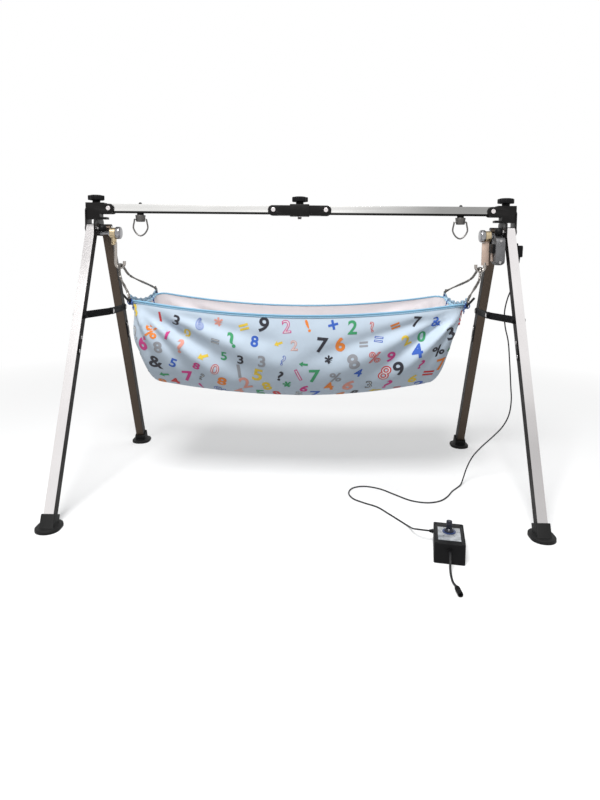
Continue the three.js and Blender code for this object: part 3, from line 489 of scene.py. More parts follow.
class Block(Enum):
    """The rounded blocks: lowest and highest corner, radius and steps of the edges."""

    STITCH = ((-0.0017, -0.0004, -0.0005), (0.0017, 0.0004, 0.0005), 0.0003, 1)
    LEG_STOP = ((-0.00125, -0.007, -0.028), (0.00125, 0.007, 0.028), 0.0009, 2)
    ARM_SHOULDER = ((0.5284, -0.0107, 0.7), (0.5409, -0.0053, 0.716), 0.0009, 2)
    ARM_BAR = ((0.5217, -0.011, 0.644), (0.5415, -0.005, 0.7085), 0.0009, 2)
    COIL = ((0.544, -0.0352, 0.6788), (0.5513, -0.0068, 0.7052), 0.0018, 3)
    POLE_PLATE = ((0.5477, -0.0178, 0.6562), (0.54834, -0.0062, 0.6785), 0.0002, 1)
    PLUG = ((0.6234, -0.0078, 0.6682), (0.639, 0.0078, 0.7018), 0.0028, 4)
    PLUG_RIB = ((0.63, -0.008, 0.688), (0.6393, 0.008, 0.6892), 0.0004, 1)
    LABEL_PLATE = ((-0.025, -0.036, 0.0452), (0.025, 0.028, 0.0461), 0.0003, 2)
    LONG_TICK = ((0.0172, -0.0003, 0.04612), (0.0202, 0.0003, 0.04624), 0.0, 1)
    SHORT_TICK = ((0.0172, -0.0003, 0.04612), (0.0192, 0.0003, 0.04624), 0.0, 1)
    DIAL_POINTER = ((-0.00035, 0.0015, 0.02595), (0.00035, 0.0052, 0.0261), 0.0, 1)
    SKIRT_MARK = ((-0.0004, 0.0113, 0.0014), (0.0004, 0.0144, 0.00162), 0.0, 1)

    def cut(self) -> Mesh:
        """The rounded block."""
        return Shape.slab(*self.value)


def ribs(count: int, first: float, pitch: float, rib: Sequence[Corner],
         grow: float = 0.0) -> list[Corner]:
    """The profile of a row of ribs.

    Args:
        count: how many there are.
        first: the height of the first one.
        pitch: the height from one to the next.
        rib: the radius and height of one rib's corners.
        grow: how much wider each is than the one before.

    Returns:
        The corners, from the lowest up.
    """
    return [
        (radius + grow * i, first + pitch * i + height)
        for i in range(count) for radius, height in rib
    ]


def letters(body: str, size: float, offset: float = 0.0, extrude: float = 0.0) -> Mesh:
    """Letters in the plane z = 0, with their middle at the origin.

    Args:
        body: what is written.
        size: the height of its line.
        offset: how much bolder its strokes are.
        extrude: half its thickness.

    Returns:
        The letters' mesh.
    """
    curve = bpy.data.curves.new("letters", "FONT")
    curve.body = body
    curve.size = size
    curve.offset = offset
    curve.extrude = extrude
    curve.align_x = "CENTER"
    curve.align_y = "CENTER"
    part = mesh_of(bpy.data.objects.new("letters", curve))
    bpy.data.curves.remove(curve)
    return part


def lay_curve(name: str, line: Sequence[Sequence[float]], radius: float, closed: bool = False,
              round_steps: int = 3) -> bpy.types.Curve:
    """A curve with a round section along a line of points.

    Args:
        name: the curve's name.
        line: the points that it follows.
        radius: the radius of its section.
        closed: whether its ends meet.
        round_steps: how finely its section is rounded.

    Returns:
        The curve.
    """
    curve = bpy.data.curves.new(name, "CURVE")
    curve.dimensions = "3D"
    curve.bevel_depth = radius
    curve.bevel_resolution = round_steps
    curve.use_fill_caps = not closed
    spline = curve.splines.new("POLY")
    spline.points.add(len(line) - 1)
    for spot, point in zip(spline.points, line):
        spot.co = (*point, 1.0)
    spline.use_cyclic_u = closed
    return curve


def mesh_of(holder: Piece) -> Mesh:
    """The mesh that an unlinked object makes, as a bmesh. The object is removed."""
    bpy.context.scene.collection.objects.link(holder)
    bpy.context.view_layer.update()
    seen = holder.evaluated_get(bpy.context.evaluated_depsgraph_get())
    mesh = bpy.data.meshes.new_from_object(seen)
    part = bmesh.new()
    part.from_mesh(mesh)
    bpy.data.objects.remove(holder)
    bpy.data.meshes.remove(mesh)
    return part


def carrier(node: str) -> str:
    """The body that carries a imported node."""
    return frame["nodes"][node]["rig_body"]


class Workpiece:
    """One piece in the making: shapes are put on it, then it is set down on its body."""

    def __init__(self, name: str) -> None:
        """Starts an empty piece with this name."""
        self.name = name
        self.shape = bmesh.new()

    def put(self, part: Mesh, place: Matrix | None = None,
            turn_out: bool = True) -> Workpiece:
        """Adds a shape to the piece.

        Args:
            part: the shape, which is used up.
            place: where it goes, if it isn't in place already.
            turn_out: whether its faces are turned outwards first.

        Returns:
            The piece itself.
        """
        if place is not None:
            bmesh.ops.transform(part, matrix=place, verts=part.verts)
        bmesh.ops.remove_doubles(part, verts=part.verts, dist=MERGE)
        if turn_out:
            bmesh.ops.recalc_face_normals(part, faces=part.faces)
        mesh = bpy.data.meshes.new("part")
        part.to_mesh(mesh)
        part.free()
        self.shape.from_mesh(mesh)
        bpy.data.meshes.remove(mesh)
        return self

    def set_down(self, body: str, slot: str, material: Material,
                 replaces: Sequence[str] = (), crease: float = 32.0) -> Piece:
        """Makes the object and lets it ride on a body.

        Args:
            body: the body that carries it.
            slot: the record's material slot.
            material: its material.
            replaces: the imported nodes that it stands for.
            crease: faces that meet at more than this angle, in degrees, keep a sharp edge.

        Returns:
            The finished object.
        """
        mesh = bpy.data.meshes.new(self.name)
        self.shape.to_mesh(mesh)
        self.shape.free()
        mesh.materials.append(material)
        mesh.shade_smooth()
        mesh.set_sharp_from_angle(angle=math.radians(crease))
        piece = bpy.data.objects.new(self.name, mesh)
        bpy.context.scene.collection.objects.link(piece)
        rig.ride(piece, body)
        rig.slot(piece, slot)
        if replaces:
            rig.replaces(piece, *replaces)
        log.info("%s rides on %s", self.name, body)
        return piece


class NodeBoard:
    """The nodes of one material, with a few short ways to add and join them."""

    noise_low = 0.3
    noise_high = 0.7

    def __init__(self, name: str) -> None:
        """Starts a material with a Principled shader on its output."""
        self.material = bpy.data.materials.new(name)
        self.material.use_nodes = True
        self.nodes = self.material.node_tree.nodes
        self.links = self.material.node_tree.links
        self.nodes.clear()
        self.shader = self.nodes.new("ShaderNodeBsdfPrincipled")
        output = self.nodes.new("ShaderNodeOutputMaterial")
        self.links.new(self.shader.outputs["BSDF"], output.inputs["Surface"])

    def fill(self, node: bpy.types.Node, inputs: dict[str, object]) -> None:
        """Fills a node's inputs, by name with _ for a blank, with values or sockets."""
        for key, value in inputs.items():
            socket = node.inputs[key.replace("_", " ")]
            if isinstance(value, Socket):
                self.links.new(value, socket)
            else:
                socket.default_value = value

    def add(self, kind: str, **inputs: object) -> bpy.types.Node:
        """Adds a node by its type without the ShaderNode prefix, and fills its inputs."""
        node = self.nodes.new("ShaderNode" + kind)
        self.fill(node, inputs)
        return node

    def set(self, **inputs: object) -> None:
        """Fills the shader's own inputs."""
        self.fill(self.shader, inputs)

    def combine(self, operation: str, one: Socket, other: Socket) -> Socket:
        """The value that a Math node makes of two others."""
        return combine(self.material.node_tree, operation, one, other)

    def coordinates(self, scale: Point = (1, 1, 1), turn: Point = (0, 0, 0)) -> Socket:
        """The piece's own coordinates, turned and scaled."""
        where = self.add("TexCoord").outputs["Object"]
        return self.add("Mapping", Vector=where, Scale=scale, Rotation=turn).outputs["Vector"]

    def noise(self, where: Socket, scale: float, detail: float = 3.0) -> Socket:
        """A noise value at those coordinates."""
        return self.add("TexNoise", Vector=where, Scale=scale, Detail=detail).outputs["Fac"]

    def between(self, value: Socket, low: float, high: float) -> Socket:
        """The value stretched from the middle of a noise's range to low and high."""
        ranged = self.add(
            "MapRange", Value=value, From_Min=self.noise_low, From_Max=self.noise_high,
            To_Min=low, To_Max=high)
        return ranged.outputs["Result"]

    def tint(self, value: Socket, dark: Color, pale: Color) -> Socket:
        """A colour between two by a value."""
        return self.add("MixRGB", Fac=value, Color1=(*dark, 1), Color2=(*pale, 1)).outputs["Color"]

    def vary(self, value: Socket, color: Color, less: float, more: float) -> Socket:
        """A colour made darker or lighter by a value, from its share less to its share more."""
        return self.tint(value, shade(color, less), shade(color, more))

    def bump(self, height: Socket, depth: float, strength: float = 1.0) -> None:
        """Raises the surface by a height value times depth metres."""
        bump = self.add("Bump", Height=height, Distance=depth, Strength=strength)
        self.links.new(bump.outputs["Normal"], self.shader.inputs["Normal"])


def combine(tree: bpy.types.NodeTree, operation: str, one: Socket, other: Socket) -> Socket:
    """The value that a Math node makes of two others in a node tree."""
    node = tree.nodes.new("ShaderNodeMath")
    node.operation = operation
    tree.links.new(one, node.inputs[0])
    tree.links.new(other, node.inputs[1])
    return node.outputs["Value"]


def shade(color: Color, share: float) -> Color:
    """A colour made darker or lighter by a share."""
    return tuple(min(1.0, part * share) for part in color)


@dataclass(frozen=True)
class BrushedSteel:
    """Stainless tube with a fine grain along its length and a soft sheen; a fade adds painted shade."""

    name: str
    color: Color
    roughness: float = 0.27
    along: Axis = Axis.X
    tilt: float = 0.0
    # fade: start and end along the tube, and the share of the tone at the end: painted shade.
    fade: tuple[float, float, float] | None = None
    # Height below which the tone turns nearly black: a painted shadow along the tube's lower edge.
    dark_edge: float = 0.0
    grain: float = 1500.0
    stretch: float = 0.012
    cloud: float = 9.0
    less: float = 0.9
    more: float = 1.08
    # Blur and strength of that painted shadow.
    painted_shade_blur: float = 0.0008
    painted_shade_depth: float = 0.97
    smoother: float = 0.06
    rougher: float = 0.07
    depth: float = 0.00002
    relief: float = 0.5

    def with_painted_shade(self, board: NodeBoard, cloud: Socket, tone: Socket) -> Socket:
        """The tone with painted shade: darker along the tube from start to end, and nearly black below the painted
        shade edge's height.
        """
        start, end, share = self.fade
        place = board.add("SeparateXYZ", Vector=board.add("TexCoord").outputs["Object"])
        line = place.outputs[self.along.name]
        along = board.add("MapRange", Value=line, From_Min=start, From_Max=end)
        dark = board.vary(cloud, self.color, self.less * share, self.more * share)
        tone = board.add("MixRGB", Fac=along.outputs["Result"], Color1=tone, Color2=dark)
        low = board.add(
            "MapRange", Value=place.outputs["Z"], From_Min=self.dark_edge + self.painted_shade_blur,
            From_Max=self.dark_edge, To_Max=self.painted_shade_depth)
        edged = board.add("MixRGB", Fac=low.outputs["Result"], Color1=tone.outputs["Color"],
                          Color2=(0, 0, 0, 1))
        return edged.outputs["Color"]

    def material(self) -> Material:
        """Builds the material."""
        board = NodeBoard(self.name)
        scale = [self.grain] * 3
        scale[0 if self.along is Axis.X else 2] *= self.stretch
        grain = board.noise(board.coordinates(scale, (self.tilt, 0, 0)), 1.0, 2.0)
        cloud = board.noise(board.coordinates(), self.cloud)
        tone = board.vary(cloud, self.color, self.less, self.more)
        board.set(
            Base_Color=self.with_painted_shade(board, cloud, tone) if self.fade else tone, Metallic=1.0,
            Roughness=board.between(
                grain, self.roughness - self.smoother, self.roughness + self.rougher),
        )
        board.bump(grain, self.depth, self.relief)
        return board.material


@dataclass(frozen=True)
class Bright:
    """Plated or polished metal with faint handling marks."""

    name: str
    color: Color
    roughness: float = 0.14
    smudge: float = 180.0
    less: float = 0.92
    rougher: float = 0.12
    depth: float = 0.00003
    relief: float = 0.2

    def material(self) -> Material:
        """Builds the material."""
        board = NodeBoard(self.name)
        smudge = board.noise(board.coordinates(), self.smudge, 4.0)
        board.set(
            Base_Color=board.vary(smudge, self.color, self.less, 1.0), Metallic=1.0,
            Roughness=board.between(smudge, self.roughness, self.roughness + self.rougher),
        )
        board.bump(smudge, self.depth, self.relief)
        return board.material


@dataclass(frozen=True)
class Moulded:
    """Paint, plastic, rubber or casting: a grained surface with a little variation."""

    name: str
    color: Color
    roughness: float = 0.45
    metallic: float = 0.0
    grain: float = 1400.0
    depth: float = 0.00004
    contrast: float = 0.3
    gloss: float = 0.5
    cloud: float = 35.0
    smoother: float = 0.07
    rougher: float = 0.09
    relief: float = 0.6

    def material(self) -> Material:
        """Builds the material."""
        board = NodeBoard(self.name)
        where = board.coordinates()
        fine = board.noise(where, self.grain)
        cloud = board.noise(where, self.cloud, 4.0)
        board.set(
            Base_Color=board.vary(cloud, self.color, 1 - self.contrast, 1 + self.contrast),
            Metallic=self.metallic, Specular_IOR_Level=self.gloss,
            Roughness=board.between(
                cloud, self.roughness - self.smoother, self.roughness + self.rougher),
        )
        board.bump(fine, self.depth, self.relief)
        return board.material


@dataclass(frozen=True)
class Woven:
    """Plain woven cotton: threads both ways, with faint slubs and a soft sheen."""

    name: str
    color: Color
    threads: float = 900.0
    depth: float = 0.00018
    contrast: float = 0.06
    slubs: float = 60.0
    roughness: float = 0.85
    sheen: float = 0.15
    relief: float = 0.35

    def material(self) -> Material:
        """Builds the material."""
        board = NodeBoard(self.name)
        where = board.coordinates((self.threads,) * 3)
        warp, weft = (
            board.add("TexWave", Vector=where, Scale=1.0, Distortion=0.6, Detail=1.0)
            for _ in range(2)
        )
        warp.bands_direction = "X"
        weft.bands_direction = "Z"
        weave = board.combine("MAXIMUM", warp.outputs["Fac"], weft.outputs["Fac"])
        slub = board.noise(board.coordinates(), self.slubs, 5.0)
        board.set(
            Base_Color=board.vary(slub, self.color, 1 - self.contrast, 1 + self.contrast),
            Roughness=self.roughness, Sheen_Weight=self.sheen, Sheen_Roughness=0.5,
        )
        board.bump(weave, self.depth, self.relief)
        return board.material


class Finishes:
    """Every finish of the cradle, built once and shared by the pieces."""

    @staticmethod
    def maker(kind: type) -> Callable[..., Material]:
        """A way to build the materials of one kind of finish."""
        return lambda *args, **more: kind(*args, **more).material()

    def __init__(self) -> None:
        """Builds the materials."""
        steel, bright, moulded, woven = map(self.maker, (BrushedSteel, Bright, Moulded, Woven))
        # The beam's steel with painted shade: darker from x = 0.13 towards the drive end, and nearly black along its
        # lower edge.
        self.beam_steel = steel(
            "beam_steel", (0.78, 0.775, 0.76), fade=(0.13, 0.4, 0.43), dark_edge=0.789)
        # Painted shade: the beam's downward faces get this near-black matte finish in place of steel.
        self.under_steel = moulded(
            "under_steel", (0.016, 0.014, 0.013), 0.75, contrast=0.2, gloss=0.05)
        # Lit and shaded copies of one steel for the front legs: painted shade darkens the left one towards the top and
        # the right one towards the bottom.
        self.front_leg_steel = steel(
            "front_leg_steel", (0.8, 0.775, 0.775), 0.2, Axis.Z, LEG_LEAN, (0.56, 0.66, 0.64))
        self.right_leg_steel = steel(
            "right_leg_steel", (0.79, 0.765, 0.765), 0.2, Axis.Z, LEG_LEAN, (0.42, 0.2, 0.68))
        # Painted reflection and shade: the back legs are the same steel, given this dark brown copy.
        self.back_leg_steel = steel(
            "back_leg_steel", (0.075, 0.058, 0.046), 0.32, Axis.Z, -LEG_LEAN)
        # Painted shade: the legs' inner faces, and the bevels next to them, get this near-black finish in place of
        # steel.
        self.side_steel = moulded("side_steel", (0.012, 0.0105, 0.01), 0.5, gloss=0.12)
        self.wire_steel = steel("wire_steel", (0.16, 0.15, 0.14), 0.25, Axis.Z)
        self.chrome = bright("bright_chrome", (0.5, 0.49, 0.49))
        # A darker copy of the chrome for the axle caps: painted dark reflections.
        self.cap_steel = bright("cap_steel", (0.3, 0.3, 0.31), 0.1)
        self.rivet_steel = bright("rivet_steel", (0.78, 0.74, 0.74), 0.2)
        self.ring_steel = bright("ring_steel", (0.15, 0.145, 0.14), 0.3)
        self.nickel = bright("nickel_rod", (0.42, 0.39, 0.36), 0.22)
        self.boss_brass = bright("boss_brass", (0.52, 0.42, 0.27), 0.24)
        self.black_paint = moulded(
            "black_paint", (0.005, 0.0045, 0.0045), 0.38, 0.0, 900, 0.00003, 0.35, 0.17)
        self.stay_paint = moulded(
            "stay_paint", (0.005, 0.005, 0.0055), 0.62, 0.0, 900, 0.00003, 0.35, 0.1)
        self.rod_paint = moulded(
            "rod_paint", (0.008, 0.008, 0.009), 0.42, 0.0, 900, 0.00003, 0.3, 0.25)
        self.black_plastic = moulded("black_plastic", (0.004, 0.004, 0.0045), 0.48, gloss=0.12)
        self.dial_plastic = moulded(
            "dial_plastic", (0.004, 0.006, 0.016), 0.3, 0.0, 1600, 0.00003, gloss=0.35)
        self.collar_blue = moulded("collar_blue", (0.01, 0.03, 0.11), 0.35)
        self.cast_metal = moulded("cast_metal", (0.13, 0.13, 0.135), 0.5, 0.4, 700, 0.0002, 0.25)
        self.swivel_metal = moulded("swivel_metal", (0.1, 0.095, 0.09), 0.4, 0.6, 700, 0.0001)
        self.arm_bar = moulded("arm_bar", (0.5, 0.38, 0.31), 0.4, 0.4, 800, 0.00006, 0.12)
        self.rubber = moulded(
            "foot_rubber", (0.007, 0.007, 0.007), 0.62, 0.0, 700, 0.00008, 0.3, 0.2)
        self.cord_skin = moulded(
            "cord_skin", (0.008, 0.008, 0.009), 0.5, 0.0, 1200, 0.00004, 0.3, 0.3)
        self.label = moulded(
            "label_silver", (0.42, 0.44, 0.46), 0.34, 0.6, 1500, 0.00002, 0.9, cloud=70.0)
        self.ink = moulded("label_ink", (0.01, 0.012, 0.03), 0.6)
        self.board = moulded("board_green", (0.03, 0.16, 0.06), 0.45)
        self.thread = moulded("white_thread", (0.62, 0.66, 0.72), 0.7)
        self.tie_cloth = woven("tie_cloth", (0.03, 0.075, 0.26))
        self.piping = woven("piping_cloth", (0.2, 0.4, 0.56), 700.0)
        self.net = woven("net_cloth", (0.42, 0.62, 0.76))


LEAD_ROUTE: tuple[Point, ...] = (
    (0.6298, 0, 0.652), (0.6286, 0, 0.632), (0.619, 0.002, 0.592), (0.604, 0.004, 0.549),
    (0.597, 0.005, 0.508), (0.601, 0.006, 0.466), (0.611, 0.006, 0.425), (0.618, 0.005, 0.357),
    (0.623, 0.004, 0.294), (0.626, 0.003, 0.249), (0.62, 0.002, 0.205), (0.603, 0, 0.172),
    (0.576, -0.001, 0.142), (0.545, -0.001, 0.112), (0.518, -0.001, 0.08), (0.501, -0.003, 0.046),
    (0.49, -0.011, 0.019), (0.479, -0.027, 0.005), (0.462, -0.048, 0.0021), (0.444, -0.072, 0.0021),
    (0.421, -0.112, 0.0021), (0.395, -0.141, 0.0021), (0.36, -0.154, 0.0021),
    (0.318, -0.143, 0.0021), (0.276, -0.102, 0.0021), (0.238, -0.063, 0.0021),
    (0.195, -0.047, 0.0021), (0.163, -0.06, 0.0021), (0.148, -0.096, 0.0021),
    (0.158, -0.136, 0.0021), (0.188, -0.164, 0.0021), (0.218, -0.187, 0.0021),
    (0.244, -0.228, 0.0021), (0.264, -0.262, 0.0021), (0.2785, -0.288, 0.0025),
    (0.286, -0.311, 0.0065), (0.2895, -0.336, 0.0145), (0.295, -0.3565, 0.023),
    (0.3065, -0.3706, 0.028), (0.3204, -0.3736, 0.028),
)
SUPPLY_ROUTE: tuple[Point, ...] = (
    (0.3444, -0.4821, 0.03), (0.3422, -0.494, 0.0286), (0.34, -0.505, 0.021),
    (0.3386, -0.513, 0.0115), (0.3376, -0.524, 0.0049), (0.3366, -0.538, 0.0027),
    (0.336, -0.553, 0.0032), (0.3378, -0.571, 0.0058),
)


@dataclass
class Studio:
    """The camera at the photograph's place, the lamps and the pale floor."""

    eye: Point = (0.038, -1.75, 0.683)
    pitch_down: float = 4.83
    turn_left: float = 1.13
    roll: float = 0.57
    focal_px: float = 604.0
    frame_px: float = 800.0
    sensor: float = 36.0
    centre_drop_px: float = 99.0
    floor_size: float = 30.0
    floor_white: float = 0.95
    floor_bounce: float = 0.4
    white_near: float = 0.35
    white_from: float = 0.9
    white_at: float = 2.4
    lamps: tuple[tuple[str, Point, float, float], ...] = (
        ("key_lamp", (-0.45, -2.1, 3.1), 1.2, 145.0), ("top_lamp", (0.3, 0.3, 3.0), 2.0, 22.0))
    lamp_aim: Point = (0.0, 0.0, 0.45)
    room_color: Color = (0.96, 0.98, 1.0)
    room_light: float = 0.24

    def set_camera(self) -> None:
        """Stands the camera where the photograph was taken from."""
        data = bpy.data.cameras.new("camera")
        data.sensor_fit = "VERTICAL"
        data.sensor_height = self.sensor
        data.lens = self.sensor * self.focal_px / self.frame_px
        data.shift_y = -self.centre_drop_px / self.frame_px
        data.clip_start = 0.01
        camera = bpy.data.objects.new("camera", data)
        aim = Matrix.Rotation(math.radians(self.turn_left), 4, "Z")
        aim = aim @ Matrix.Rotation(math.radians(90 - self.pitch_down), 4, "X")
        aim = aim @ Matrix.Rotation(math.radians(self.roll), 4, "Z")
        camera.matrix_world = Matrix.Translation(self.eye) @ aim
        bpy.context.scene.collection.objects.link(camera)
        bpy.context.scene.camera = camera
        bpy.context.scene.view_settings.view_transform = "Standard"

    def lamp(self, name: str, place: Point, size: float, watts: float) -> None:
        """Adds a square soft lamp that points at the cradle."""
        data = bpy.data.lights.new(name, "AREA")
        data.size = size
        data.energy = watts
        lamp = bpy.data.objects.new(name, data)
        aim = Vector(self.lamp_aim) - Vector(place)
        lamp.rotation_euler = aim.to_track_quat("-Z", "Y").to_euler()
        lamp.location = place
        bpy.context.scene.collection.objects.link(lamp)

    def seen(self, tree: bpy.types.NodeTree) -> Socket:
        """A value of 1 for what the camera sees, straight, mirrored or through glass."""
        path = tree.nodes.new("ShaderNodeLightPath")
        value = path.outputs["Is Camera Ray"]
        for ray in ("Is Glossy Ray", "Is Transmission Ray"):
            value = combine(tree, "MAXIMUM", value, path.outputs[ray])
        return value

    def light(self) -> None:
        """Adds the lamps and a white world that lights softly."""
        for name, place, size, watts in self.lamps:
            self.lamp(name, place, size, watts)
        world = bpy.data.worlds.new("world")
        bpy.context.scene.world = world
        world.use_nodes = True
        nodes, links = world.node_tree.nodes, world.node_tree.links
        nodes.clear()
        mix = nodes.new("ShaderNodeMixShader")
        links.new(self.seen(world.node_tree), mix.inputs["Fac"])
        for slot, color, strength in ((1, self.room_color, self.room_light), (2, (1, 1, 1), 1.0)):
            back = nodes.new("ShaderNodeBackground")
            back.inputs["Color"].default_value = (*color, 1)
            back.inputs["Strength"].default_value = strength
            links.new(back.outputs["Background"], mix.inputs[slot])
        output = nodes.new("ShaderNodeOutputWorld")
        links.new(mix.outputs["Shader"], output.inputs["Surface"])

    def lay_floor(self) -> None:
        """Lays a white floor that takes the shadow and fades to pure white far out."""
        part = bmesh.new()
        bmesh.ops.create_grid(part, x_segments=1, y_segments=1, size=self.floor_size)
        mesh = bpy.data.meshes.new("floor")
        part.to_mesh(mesh)
        part.free()
        board = NodeBoard("floor_white")
        seen = self.seen(board.material.node_tree)
        dim, pale = (self.floor_bounce,) * 3, (self.floor_white,) * 3
        board.set(Base_Color=board.tint(seen, dim, pale), Roughness=0.9, Specular_IOR_Level=0.1)
        where = board.add("TexCoord").outputs["Object"]
        far = board.add("VectorMath", Vector=where)
        far.operation = "LENGTH"
        fade = board.add(
            "MapRange", Value=far.outputs["Value"], From_Min=self.white_from,
            From_Max=self.white_at, To_Min=self.white_near)
        glow = board.add("Emission", Strength=1.0)
        share = board.combine("MULTIPLY", fade.outputs["Result"], seen)
        mix = board.add("MixShader", Fac=share)
        board.links.new(board.shader.outputs["BSDF"], mix.inputs[1])
        board.links.new(glow.outputs["Emission"], mix.inputs[2])
        output = next(n for n in board.nodes if n.type == "OUTPUT_MATERIAL")
        board.links.new(mix.outputs["Shader"], output.inputs["Surface"])
        mesh.materials.append(board.material)
        floor = bpy.data.objects.new("floor", mesh)
        bpy.context.scene.collection.objects.link(floor)
        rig.stage(floor)


@dataclass
class Leads:
    """The lead from the drive to the controller and the supply lead with its socket."""

    finishes: Finishes
    lead_diameter: float = 0.004
    supply_diameter: float = 0.005
    body: str = "right_frame"
    controller: tuple[str, ...] = (
        "drive_gland", "box_base", "box_lid", "label_plate", "speed_dial", "potentiometer",
        "circuit_board", "supply_gland")

    def lay(self) -> None:
        self.lead("drive_lead", LEAD_ROUTE, self.lead_diameter, "fitting",
                  ("drive_plug", *self.controller))
        self.lead("supply_lead", SUPPLY_ROUTE, self.supply_diameter, "connector",
                  ("supply_socket",))

    def lead(self, node: str, route: Sequence[Point], diameter: float, far_end: str,
             ends: Sequence[str]) -> None:
        """Lays one lead along its route.

        Args:
            node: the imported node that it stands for.
            route: the points that it passes through.
            diameter: its diameter.
            far_end: what its far end is.
            ends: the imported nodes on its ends.
        """
        name = f"{node}_cord"
        with_pieces = [frame["nodes"][end] for end in ends]
        line = smooth_path(route, 6)
        curve = lay_curve(name, line, diameter / 2, round_steps=2)
        curve.materials.append(self.finishes.cord_skin)
        piece = bpy.data.objects.new(name, curve)
        bpy.context.scene.collection.objects.link(piece)
        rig.ride(piece, self.body)
        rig.replaces(piece, node)
        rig.slot(piece, "rubber")
        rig.cord(
            piece, exit=route[0], length=path_length(line), diameter=diameter, far_end=far_end,
            stiffness="medium", lay="loose", with_pieces=with_pieces,
        )
        log.info("%s is %.3f m long", name, path_length(line))


def eased(value: float) -> float:
    """A value from 0 to 1 with soft ends."""
    held = min(1.0, max(0.0, value))
    return held * held * (3 - 2 * held)


@dataclass(frozen=True)
class Fold:
    """One soft fold that fans from a corner of the hammock.

    The angle is from level, downwards, in degrees. The height is how far it stands out, and
    it runs from the start distance to the end distance from the corner.
    """

    angle: float
    width: float
    height: float
    start: float
    end: float
    rise: float = 0.05
    fade: float = 0.12
    broad: float = 2.6
    broad_gain: float = 1.45
    narrow_gain: float = 2.3

    def lift(self, angle: float, reach: float) -> float:
        """How far the cloth stands out at an angle and a distance from the corner."""
        across = math.exp(-(((angle - self.angle) / self.width) ** 2))
        along = eased((reach - self.start) / self.rise) * eased((self.end - reach) / self.fade)
        gain = self.broad_gain if self.width > self.broad else self.narrow_gain
        return gain * self.height * across * along


